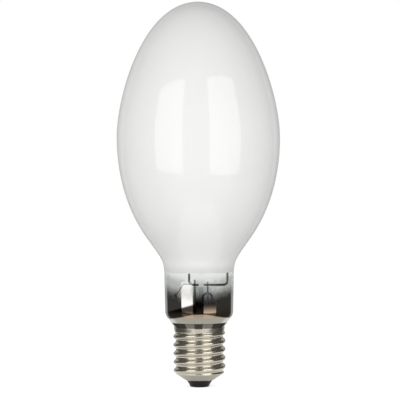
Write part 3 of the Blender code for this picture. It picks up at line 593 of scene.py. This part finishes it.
def coated_glass():
    """White with faint clouds, greyer above the coat's edge, and grey green painted shade at
    the rim.
    """
    made, tree = new_material("coated_glass")
    place, axes = object_place(tree)
    cloudy = blend_colours(tree, noise(tree, place, 28.0, 4.0),
                           (0.800, 0.805, 0.795), (0.825, 0.828, 0.820))
    # The coat turns greyer by height just above its edge.
    edge_greyed = ramp(tree, axes["Z"], *COAT_EDGE_GREYS, COAT_EDGE_GREY_SHARE, 0.0)
    coat = blend_colours(tree, edge_greyed, cloudy, COAT_EDGE_GREY)
    # Painted shade at the outline, tinted with the glass's green. It grows as the surface turns
    # away from the eye.
    rim = ramp(tree, facing_share(tree), *RIM_SHADE_GROWS, 0.0, RIM_GREEN_SHADE_SHARE)
    colour = blend_colours(tree, rim, coat, RIM_GREEN_SHADE)
    wavy = bump(tree, noise(tree, place, 9.0, 1.0), 0.05, 0.001)
    finish_with(tree, put(tree, "ShaderNodeBsdfPrincipled", Base_Color=colour, Roughness=0.06,
                          IOR=1.5, Normal=wavy))
    return made


# %% [markdown]
# ### Slopes of the neck's glass
#
# The neck mirrors the studio, and a mirror shows slopes that an outline hardly does. The
# outline tapers by half a millimetre towards the foot, but the reflections run as on an
# upright wall. They also show a slight flare under the coat, and a foot that turns upright
# where it meets the cap's rim. More rows in the mesh could give these slopes, but they
# would move the outline. A bump whose height climbs in straight lines with Z turns the
# mirror alone, by the slope of those lines.

# %% Slopes of the neck's glass
FOOT_SLOPE = (0.0440, 0.0484, 0.0039, 0.0)
WALL_SLOPE = (0.0510, 0.0795, 0.00058, 0.0)
FLARE_SLOPE = (0.0795, 0.0870, 0.0, 0.00036)


def neck_slopes(tree, axes):
    """The sum of three straight climbs with Z, as a bump whose height is in metres."""
    foot, wall, flare = (ramp(tree, axes["Z"], *slope, way="LINEAR")
                         for slope in (FOOT_SLOPE, WALL_SLOPE, FLARE_SLOPE))
    height = calculate(tree, "ADD", calculate(tree, "ADD", foot, wall), flare)
    return bump(tree, height, 1.0, 1.0)


# %% [markdown]
# ### Clear glass
#
# Below the coat the glass is clear. A refracting wall could be traced, but a wall this thin
# hardly bends the view. So it lets the view through and mirrors a little at its face and
# much at its rim, as Schlick's formula says: 0.04 + 0.96 (1 - cos)^5.

# %% Clear glass
def clear_neck(tree, facing, slopes):
    """Transparent, under a gloss whose share is 0.04 + 0.96 facing^5."""
    share = calculate(tree, "MULTIPLY_ADD", calculate(tree, "POWER", facing, 5.0), 0.96, 0.04)
    view = put(tree, "ShaderNodeBsdfTransparent", Color=(0.90, 0.91, 0.90, 1.0))
    gloss = put(tree, "ShaderNodeBsdfGlossy", Color=WHITE, Roughness=0.02, Normal=slopes)
    return mix_shaders(tree, share, view, gloss)


# %% [markdown]
# ### How thick the film is
#
# Lower down, barium from the getters lies on the glass as a dark mirror. It could be a
# second skin inside the bulb, but it has no thickness that the eye can see. So it is a metal
# mixed into the glass by a share that grows downwards: first a veil, then the film's body.
# Its edge wavers, dips in the middle of the front and climbs to the sides.

# %% How thick the film is
FILM_WAVER = 0.0011
FILM_DIP = 0.0022
FILM_CLIMB = 8.0
VEIL_SHARE = 0.25
BODY_SHARE = 0.745


def wavering_height(tree, place, axes):
    """Z, moved up or down by noise, by half the waver at most."""
    lowered = calculate(tree, "SUBTRACT", axes["Z"], FILM_WAVER / 2)
    return calculate(tree, "MULTIPLY_ADD", noise(tree, place, 60.0, 2.0), FILM_WAVER, lowered)


def film_share(tree, axes, height):
    """Veil and body, each a smooth step of the height + dip - climb X^2."""
    climb = calculate(tree, "MULTIPLY", axes["X"], axes["X"])
    level = calculate(tree, "MULTIPLY_ADD", climb, -FILM_CLIMB,
                      calculate(tree, "ADD", height, FILM_DIP))
    return calculate(tree, "ADD", ramp(tree, level, *FILM_VEIL, VEIL_SHARE, 0.0),
                     ramp(tree, level, *FILM_BODY, BODY_SHARE, 0.0))


# %% [markdown]
# ### The film's colours
#
# The getters don't face all of the glass alike, so the film differs with the side as well
# as with the height. On the left it is a bright mirror with a slanting foot, and nearly
# black below. On the right it is dark, with a paler flank. Lower down both turn amber, then
# grey on the shoulder and cream at its foot. Seen at a glancing angle, any film is pale. A
# picture of the film could be painted, but blends in turn stay sharp and can be changed.

# %% The film's colours
PARTING = (0.0055, 0.0070)
PARTING_LEAN = 0.142
MIRROR_FOOT_SLANT = -0.32
FLANK_EDGE = (0.0122, 0.0136)
GLANCING = (0.50, 0.64)
LEFT_DARK = (0.034, 0.027, 0.022)
LEFT_MIRROR = (0.70, 0.68, 0.65)
RIGHT_DARK = (0.011, 0.009, 0.010)
RIGHT_FLANK = (0.58, 0.55, 0.50)
FILM_AMBER = (0.42, 0.32, 0.225)
SHOULDER_GREY = (0.40, 0.38, 0.33)
FOOT_CREAM = (0.80, 0.73, 0.61)
GLANCING_GREY = (0.60, 0.58, 0.54)


def dark_film(tree, axes, height, on_right):
    """The left film and the right one, each blended from its dark to its pale colour."""
    slanting = calculate(tree, "MULTIPLY_ADD", axes["X"], MIRROR_FOOT_SLANT, height)
    left = blend_colours(tree, ramp(tree, slanting, *LEFT_MIRROR_FOOT), LEFT_DARK, LEFT_MIRROR)
    right = blend_colours(tree, ramp(tree, axes["X"], *FLANK_EDGE), RIGHT_DARK, RIGHT_FLANK)
    return blend_colours(tree, on_right, left, right)


def film_colour(tree, axes, height, facing):
    """The dark film, then amber, shoulder grey, foot cream and glancing grey over it."""
    leaning = calculate(tree, "MULTIPLY_ADD", axes["Z"], PARTING_LEAN, axes["X"])
    on_right = ramp(tree, leaning, *PARTING)
    left_low = ramp(tree, height, *LEFT_AMBER, 1.0, 0.0)
    right_low = ramp(tree, height, *RIGHT_AMBER, 1.0, 0.0)
    low = calculate(tree, "MULTIPLY_ADD", calculate(tree, "SUBTRACT", right_low, left_low),
                    on_right, left_low)
    amber = blend_colours(tree, calculate(tree, "POWER", low, 1.5),
                          dark_film(tree, axes, height, on_right), FILM_AMBER)
    on_shoulder = ramp(tree, axes["Z"], *SHOULDER_FILM, 1.0, 0.0)
    shoulder = blend_colours(tree, on_shoulder, amber, SHOULDER_GREY)
    at_foot = ramp(tree, axes["Z"], *FOOT_FILM, 1.0, 0.0)
    foot = blend_colours(tree, at_foot, shoulder, FOOT_CREAM)
    return blend_colours(tree, ramp(tree, facing, *GLANCING), foot, GLANCING_GREY)


# %% [markdown]
# ### Filmed glass
#
# The four steps meet in one material: the slopes turn both mirrors, and the film's share
# chooses between clear glass and film. Both lie on the same faces, so the film fades into
# the glass without an edge.

# %% Filmed glass
def filmed_glass():
    """Clear glass where the film's share is 0, a mirror of the film's colour where it is 1."""
    made, tree = new_material("filmed_glass")
    place, axes = object_place(tree)
    facing = facing_share(tree)
    slopes = neck_slopes(tree, axes)
    height = wavering_height(tree, place, axes)
    film = put(tree, "ShaderNodeBsdfPrincipled", Metallic=1.0, Roughness=0.07, Normal=slopes,
               Base_Color=film_colour(tree, axes, height, facing))
    finish_with(tree, mix_shaders(tree, film_share(tree, axes, height),
                                  clear_neck(tree, facing, slopes), film))
    return made


# %% [markdown]
# ### Inner side
#
# The wall's inner side shows only through the neck. One white skin for all of it would hide
# the stem, so it has two finishes. Below the coat's edge it is bare glass, and above it is
# the powder itself, which is matt and a little cloudy.

# %% Inner side
def bare_inner_glass():
    """The neck's inner side, which only dims the view a little."""
    made, tree = new_material("inner_glass")
    place = object_place(tree)[0]
    tint = blend_colours(tree, noise(tree, place, 50.0), (0.97, 0.98, 0.97), (0.99, 0.99, 0.99))
    finish_with(tree, put(tree, "ShaderNodeBsdfTransparent", Color=tint))
    return made


def powder_coat():
    """The coat itself, as the clear neck lets it be seen from below."""
    made, tree = new_material("powder_coat")
    place = object_place(tree)[0]
    colour = blend_colours(tree, noise(tree, place, 90.0, 4.0), (0.78, 0.78, 0.77),
                           (0.86, 0.86, 0.85))
    finish_with(tree, put(tree, "ShaderNodeBsdfPrincipled", Base_Color=colour, Roughness=0.9))
    return made


# %% [markdown]
# ### One mesh, four finishes
#
# The bulb could be cut into four pieces, but glass has no seams. Outer and inner line are
# joined to one closed section and turned together, and each face then gets its finish from
# its height and from the way it looks.

# %% The bulb
BULB_SIDES = 160
section = np.concatenate([outer_line, inner_line[::-1]])
bulb_mesh = smooth_mesh("bulb", turn_profile(section, BULB_SIDES))
close_up(bulb_mesh, 60.0)
for made in (coated_glass(), filmed_glass(), powder_coat(), bare_inner_glass()):
    bulb_mesh.materials.append(made)

# %% Which finish a face gets
CROWN_REACH = 0.02


def face_values(mesh, what, size):
    """One row of numbers for each face."""
    values = np.zeros(len(mesh.polygons) * size, np.float32)
    mesh.polygons.foreach_get(what, values)
    return values.reshape(-1, size)


def paint_bulb(mesh):
    """Outer faces look away from the axis, or up at the crown. The coat's edge parts each."""
    centre = face_values(mesh, "center", 3)
    normal = face_values(mesh, "normal", 3)
    outwards = (centre[:, :2] * normal[:, :2]).sum(axis=1) > 0.0
    crown = np.hypot(centre[:, 0], centre[:, 1]) < CROWN_REACH
    crown &= centre[:, 2] > WIDEST
    outwards = np.where(crown, normal[:, 2] > 0.0, outwards)
    coated = centre[:, 2] > COAT_EDGE
    slots = np.where(outwards, np.where(coated, 0, 1), np.where(coated, 2, 3))
    mesh.polygons.foreach_set("material_index", slots.astype(np.int32))
    print("faces by finish:", np.bincount(slots, minlength=4).tolist())


paint_bulb(bulb_mesh)
add_piece("bulb", bulb_mesh, ["outer_bulb"])

# %% [markdown]
# ## The screw shell
#
# The cap is thin brass sheet, drawn to a cup, rolled between two thread forms and nickel
# plated. A solid thread could be swept and joined to a core, but the sheet is one skin
# whose radius rises and falls. So its radius is a wave of the height and the turn: equal
# arcs for crest and groove, moved up by one pitch each turn. The wave fades out at the cone
# and at the plain band under the rim. At the back a notch lets the lead out to its solder:
# the columns crowd there, at named shares of half the notch's width, and the rows above the
# notch's foot are pulled down to it.

# %% Thread sizes
CAP_SHEET = 0.0005
CREST_RADIUS = shell_high.x
ROOT_RADIUS = 0.01775
THREAD_PITCH = 0.00635
FIRST_CREST_HEIGHT = 0.01533
THREAD_RUNOUT = 0.0024
PLAIN_BAND = 0.0026
SHELL_MOUTH_RADIUS = 0.0106
SHELL_CONE_HEIGHT = 0.0052
SHELL_CONE_BEND = 0.0022
SHELL_CONE_RUN = 0.0018
RIM_FLARE = 0.0004
NOTCH_WIDTH = 0.0014
NOTCH_DEPTH = 0.0034
NOTCH_TURN = math.pi / 2
NOTCH_COLUMNS = np.array([-1.15, -1.0, -0.85, 0.0, 0.85, 1.0, 1.15])
NOTCH_CLEARING = 1.5
NOTCH_SOFTNESS = 0.3
NOTCH_PULL = 0.97
SHELL_SIDES = 192
SCREW_ROWS = 112
MEAN_RADIUS = (CREST_RADIUS + ROOT_RADIUS) / 2
THREAD_DEPTH = CREST_RADIUS - ROOT_RADIUS
MOUTH_HEIGHT = shell_low.z
CONE_TOP = MOUTH_HEIGHT + SHELL_CONE_HEIGHT
print("crest to crest, mm:", round(CREST_RADIUS * 2000, 2))


# %% The thread's wave
def thread_wave(height, turn):
    """Height of the sheet over the mean radius: the arc of a crest, or of a groove."""
    quarter = THREAD_PITCH / 4
    arc = quarter / math.sin(2 * math.atan(THREAD_DEPTH / 2 / quarter))
    along = (height - FIRST_CREST_HEIGHT - THREAD_PITCH * turn / math.tau) % THREAD_PITCH
    along = np.minimum(along, THREAD_PITCH - along)
    crest = THREAD_DEPTH / 2 - arc + np.sqrt(arc ** 2 - np.minimum(along, quarter) ** 2)
    from_root = np.minimum(2 * quarter - along, quarter)
    root = arc - THREAD_DEPTH / 2 - np.sqrt(arc ** 2 - from_root ** 2)
    return np.where(along < quarter, crest, root)


def ease(share):
    """0 to 1 without a corner: 3 s^2 - 2 s^3."""
    share = np.clip(share, 0.0, 1.0)
    return share * share * (3.0 - 2.0 * share)


# %% The shell
def shell_grid():
    """Rows up the cone and the side, columns round: radius = profile + faded wave."""
    mouth = (SHELL_MOUTH_RADIUS, MOUTH_HEIGHT)
    corner = (MEAN_RADIUS, CONE_TOP)
    side = (MEAN_RADIUS, CONE_TOP + SHELL_CONE_RUN)
    arc = bend(mouth, corner, side, SHELL_CONE_BEND, 8)
    notch_foot = (MEAN_RADIUS, CAP_LENGTH - NOTCH_DEPTH)
    screw_top = (MEAN_RADIUS, CAP_LENGTH - PLAIN_BAND)
    rim = (MEAN_RADIUS + RIM_FLARE, CAP_LENGTH)
    profile = drop_repeats(np.concatenate([
        straight(mouth, arc[0], 8), arc, straight(arc[-1], side, 2),
        straight(side, notch_foot, SCREW_ROWS), straight(notch_foot, screw_top, 4),
        straight(screw_top, rim, 10),
    ]))
    even = np.arange(SHELL_SIDES) * math.tau / SHELL_SIDES
    half_notch = NOTCH_WIDTH / 2 / MEAN_RADIUS
    clear = np.abs(even - NOTCH_TURN) > half_notch * NOTCH_CLEARING
    turn = np.sort(np.concatenate([even[clear], NOTCH_TURN + half_notch * NOTCH_COLUMNS]))
    height = profile[:, 1:2] + 0.0 * turn
    rise = (ease((height - CONE_TOP + CAP_SHEET) / THREAD_RUNOUT)
            * ease((screw_top[1] - height) / THREAD_RUNOUT))
    radius = profile[:, 0:1] + rise * thread_wave(height, turn)
    off_notch = np.abs(turn - NOTCH_TURN) / half_notch
    pull = NOTCH_PULL * ease((NOTCH_COLUMNS[-1] - off_notch) / NOTCH_SOFTNESS)
    foot = notch_foot[1]
    height = np.where(height > foot, foot + (height - foot) * (1.0 - pull), height)
    return np.stack([radius * np.cos(turn), radius * np.sin(turn), height], axis=-1)


shell_mesh = smooth_mesh("screw_shell", shell_grid())
close_up(shell_mesh, 50.0)
screw_shell = add_piece("screw_shell", shell_mesh, ["cap_shell"])
sheet = screw_shell.modifiers.new("sheet", "SOLIDIFY")
sheet.thickness = CAP_SHEET
sheet.offset = -1.0

# %% [markdown]
# ## Black glass
#
# Black glass is poured into the shell's mouth and pressed round the eyelet. Its solid has
# few sides, which its gloss would show, so it is turned anew from a profile with a softly
# dished flank. The eyelet and the solder keep their solids.

# %% Cap insulator
GAP = 0.0003
INSULATOR_FOOT_RADIUS = 0.0070
INSULATOR_FOOT_HEIGHT = 0.00025
INSULATOR_DISH = 0.0004
INSULATOR_BORE_RADIUS = 0.0015
CONTACT_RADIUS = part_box("centre_contact")[1].x
CONTACT_THICKNESS = 0.0012
CONTACT_BARREL_RADIUS = 0.0024
CONTACT_BARREL_LENGTH = 0.0022


def insulator_outer_side():
    """From the top down the seat in the cone, out at the mouth, in along a dished flank."""
    seat_slope = np.array([MEAN_RADIUS - SHELL_MOUTH_RADIUS, SHELL_CONE_HEIGHT])
    seat_slope = seat_slope / np.linalg.norm(seat_slope)
    inward = np.array([-seat_slope[1], seat_slope[0]])
    seat_foot = np.array([SHELL_MOUTH_RADIUS, MOUTH_HEIGHT]) + inward * (CAP_SHEET + GAP)
    rise = (insulator_high.z - seat_foot[1]) / seat_slope[1]
    seat_top = seat_foot + seat_slope * rise
    seat_top[0] = min(seat_top[0], insulator_high.x)
    mouth = seat_foot - np.array([0.0, CAP_SHEET])
    foot = np.array([INSULATOR_FOOT_RADIUS, INSULATOR_FOOT_HEIGHT])
    dished = (mouth + foot) / 2 - np.array([INSULATOR_DISH, 0.0])
    flank = bezier(mouth, dished, dished, foot, 14)
    return np.concatenate([seat_top[None], seat_foot[None], flank])


def insulator_profile():
    """The bore's top, the outer side, then the steps that clear the contact and its barrel."""
    recess = CONTACT_RADIUS + GAP
    recess_top = CONTACT_THICKNESS + GAP
    barrel = CONTACT_BARREL_RADIUS + GAP
    barrel_top = CONTACT_THICKNESS + CONTACT_BARREL_LENGTH + GAP
    return drop_repeats(np.concatenate([
        np.array([[INSULATOR_BORE_RADIUS, insulator_high.z]]), insulator_outer_side(),
        np.array([[recess, INSULATOR_FOOT_HEIGHT], [recess, recess_top], [barrel, recess_top],
                  [barrel, barrel_top], [INSULATOR_BORE_RADIUS, barrel_top]]),
    ]))


insulator_mesh = smooth_mesh("black_glass", turn_profile(insulator_profile(), 128), closed=True)
close_up(insulator_mesh)
add_piece("black_glass", insulator_mesh, ["cap_insulator"])

# %% [markdown]
# ## Wires in the neck
#
# The lead wires, the rail and the support are drawn wire, bent and then spot welded. Curves
# with a bevel could make them, but a tube carried along each path leaves a plain mesh: at
# every point of the path a ring stands square to its run. The ends are cut off and a little
# rounded.

# %% Carrying a tube along a path
END_SCALES = np.array([0.55, 0.85, 1.0])
END_SETBACKS = np.array([0.0, 0.0, 0.35])


def three_at_ends(rows):
    """The first and the last row three times, so that each cut end can be rounded."""
    return np.concatenate([np.repeat(rows[:1], 3, 0), rows[1:-1], np.repeat(rows[-1:], 3, 0)])


def tube(path, radius, sides=20):
    """Rings square to the path: centre + radius (cos a across + sin a up)."""
    run = np.gradient(path, axis=0)
    run /= np.linalg.norm(run, axis=1)[:, None]
    up = np.cross(run, np.array([0.0, 1.0, 0.0]))
    up /= np.linalg.norm(up, axis=1)[:, None]
    across = np.cross(up, run)
    centres = three_at_ends(path)
    centres[:3] += run[0] * radius * END_SETBACKS[:, None]
    centres[-3:] -= run[-1] * radius * END_SETBACKS[::-1, None]
    spread = radius * np.concatenate([END_SCALES, np.ones(len(path) - 2), END_SCALES[::-1]])
    angle = np.arange(sides) * math.tau / sides
    ring = (np.cos(angle)[None, :, None] * three_at_ends(across)[:, None, :]
            + np.sin(angle)[None, :, None] * three_at_ends(up)[:, None, :])
    return centres[:, None, :] + spread[:, None, None] * ring


def bent_path(corners, radii):
    """Straight runs between corners, with an arc at each inner corner."""
    points = [np.array(corners[0])[None]]
    for i, radius in enumerate(radii, start=1):
        points.append(bend(corners[i - 1], corners[i], corners[i + 1], radius))
    points.append(np.array(corners[-1])[None])
    return drop_repeats(np.concatenate(points))


def add_wire(name, path, radius, node):
    """A tube along the path, with its ends filled, in place of the node."""
    mesh = smooth_mesh(name, tube(path, radius), capped=True)
    close_up(mesh)
    add_piece(name, mesh, [node])


# %% Rail and support
FRAME_WIRE_RADIUS = 0.0008
FRAME_BEND = 0.0032
RAIL_TOP_BEND = 0.0070
LEAD_RADIUS = 0.0006
FOOT_OVERHANG = 0.0029
lead_low, lead_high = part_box("contact_lead")
shell_lead_low, shell_lead_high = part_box("shell_lead")
rail_x = rail_high.x - FRAME_WIRE_RADIUS
rail_y = (rail_low.y + rail_high.y) / 2
rail_foot = rail_low.z + FRAME_WIRE_RADIUS
rail_top = rail_high.z - FRAME_WIRE_RADIUS
add_wire("rail", bent_path([
    (shell_lead_low.x + LEAD_RADIUS - FOOT_OVERHANG, rail_y, rail_foot),
    (rail_x, rail_y, rail_foot),
    (rail_x, rail_y, rail_top),
    (rail_low.x, rail_y, rail_top),
], [FRAME_BEND, RAIL_TOP_BEND]), FRAME_WIRE_RADIUS, "frame_rail")

support_x = support_low.x + FRAME_WIRE_RADIUS
foot_y = support_high.y - FRAME_WIRE_RADIUS
arm_y = support_low.y + FRAME_WIRE_RADIUS
support_foot = support_low.z + FRAME_WIRE_RADIUS
support_arm = support_high.z - FRAME_WIRE_RADIUS
add_wire("support", bent_path([
    (lead_low.x + LEAD_RADIUS + FOOT_OVERHANG, foot_y, support_foot),
    (support_x, foot_y, support_foot),
    (support_x, arm_y, support_arm),
    (support_high.x, arm_y, support_arm),
], [FRAME_BEND, FRAME_BEND]), FRAME_WIRE_RADIUS, "lower_support")

# %% Lead wires
for lead, low, high in (("contact_lead", lead_low, lead_high),
                        ("shell_lead", shell_lead_low, shell_lead_high)):
    x = (low.x + high.x) / 2
    y = (low.y + high.y) / 2
    add_wire(lead + "_wire", straight((x, y, low.z), (x, y, high.z), 8), LEAD_RADIUS,
             lead)

# %% [markdown]
# ## Metals, glass and ceramics
#
# Each metal could have a tree of its own, but they differ only in their numbers, so each is
# one function call with its own colours and roughness. Noise moves both a little, because
# plate, drawn wire and solder are never even. Brighter and duller places are what lets the
# eye tell them apart.

# %% Metals
def metal(name, light, dark, roughness, grain, dent):
    """A metal whose colour and polish drift with two sizes of noise."""
    made, tree = new_material(name)
    place = object_place(tree)[0]
    drift = noise(tree, place, grain, 3.0)
    colour = blend_colours(tree, drift, dark, light)
    polish = ramp(tree, noise(tree, place, grain * 3.1, 4.0), 0.3, 0.7,
                  roughness * 0.8, roughness * 1.25)
    dents = bump(tree, noise(tree, place, grain * 1.7, 2.0), dent, 0.0002)
    finish_with(tree, put(tree, "ShaderNodeBsdfPrincipled", Base_Color=colour, Metallic=0.95,
                          Roughness=polish, Normal=dents))
    return made


# %% Ceramics, cement and black glass
def fired_solid(name, light, dark, roughness, grain, dent, gloss=0.5):
    """Colour that drifts with noise, and a bump of the same grain."""
    made, tree = new_material(name)
    place = object_place(tree)[0]
    drift = noise(tree, place, grain, 4.0)
    colour = blend_colours(tree, drift, dark, light)
    dents = bump(tree, drift, dent, 0.0002)
    finish_with(tree, put(tree, "ShaderNodeBsdfPrincipled", Base_Color=colour,
                          Roughness=roughness, Specular_IOR_Level=gloss, Normal=dents))
    return made


# %% [markdown]
# ### Stem glass
#
# The stem is thick clear glass. Light traced through it would be slow and noisy behind the
# neck's own glass, so it lets the view through, and its gloss grows where it turns away.

# %% Stem glass
STEM_GLOSS = (0.45, 0.06)


def stem_glass():
    """A tinted view under a gloss whose share is 0.06 + 0.45 facing^4."""
    made, tree = new_material("stem_glass")
    place = object_place(tree)[0]
    tint = blend_colours(tree, noise(tree, place, 300.0), (0.90, 0.92, 0.92),
                         (0.95, 0.96, 0.96))
    view = put(tree, "ShaderNodeBsdfTransparent", Color=tint)
    gloss = put(tree, "ShaderNodeBsdfGlossy", Color=(0.9, 0.9, 0.92, 1.0), Roughness=0.04)
    turned = calculate(tree, "POWER", facing_share(tree), 4.0)
    share = calculate(tree, "MULTIPLY_ADD", turned, *STEM_GLOSS)
    finish_with(tree, mix_shaders(tree, share, view, gloss))
    return made


# %% [markdown]
# ### One finish for each slot
#
# Every other slot of the record gets one finish. The new pieces and the solids that stay take
# theirs from the same list, so a wire looks alike in both.

# %% One finish for each slot
finishes = {
    "plated_brass": metal("nickel_plate", (0.70, 0.655, 0.56), (0.60, 0.555, 0.46),
                          0.23, 120.0, 0.04),
    "solder": metal("tin_solder", (0.66, 0.67, 0.68), (0.48, 0.49, 0.50), 0.38, 400.0, 0.5),
    "nickel_wire": metal("drawn_nickel", (0.52, 0.50, 0.46), (0.34, 0.33, 0.30),
                         0.30, 500.0, 0.2),
    "copper_wire": metal("drawn_copper", (0.75, 0.45, 0.32), (0.55, 0.30, 0.20),
                         0.32, 500.0, 0.2),
    "frame_steel": metal("frame_wire", (0.46, 0.45, 0.42), (0.28, 0.27, 0.25),
                         0.30, 400.0, 0.2),
    "niobium": metal("niobium_tube", (0.44, 0.43, 0.42), (0.33, 0.32, 0.31),
                     0.42, 300.0, 0.2),
    "tungsten": metal("tungsten_rod", (0.26, 0.26, 0.27), (0.16, 0.16, 0.17),
                      0.48, 500.0, 0.3),
    "black_glass": fired_solid("black_glass", (0.020, 0.019, 0.021), (0.012, 0.011, 0.013),
                               0.16, 200.0, 0.05, 0.2),
    "cement": fired_solid("baked_cement", (0.60, 0.57, 0.50), (0.44, 0.41, 0.35),
                          0.92, 900.0, 0.6),
    "alumina": fired_solid("alumina_tube", (0.90, 0.89, 0.86), (0.82, 0.81, 0.78),
                           0.38, 200.0, 0.1),
    "clear_glass": stem_glass(),
}
own_finish = {
    "screw_shell": "plated_brass", "black_glass": "black_glass", "rail": "frame_steel",
    "support": "frame_steel", "contact_lead_wire": "nickel_wire",
    "shell_lead_wire": "nickel_wire",
}
for name, slot in own_finish.items():
    mesh = bpy.data.objects[name].data
    mesh.materials.clear()
    mesh.materials.append(finishes[slot])
print("finishes:", len(finishes))

# %% Finishes for the solids that stay
kept = 0
for part in frame["record"]["subparts"]:
    solid = frame["nodes"][part["node"]]
    if solid.hide_render or part["material_slot"] not in finishes:
        continue
    for place_in_list in solid.material_slots:
        place_in_list.material = finishes[part["material_slot"]]
    kept += 1
print("solids that keep their shape:", kept)
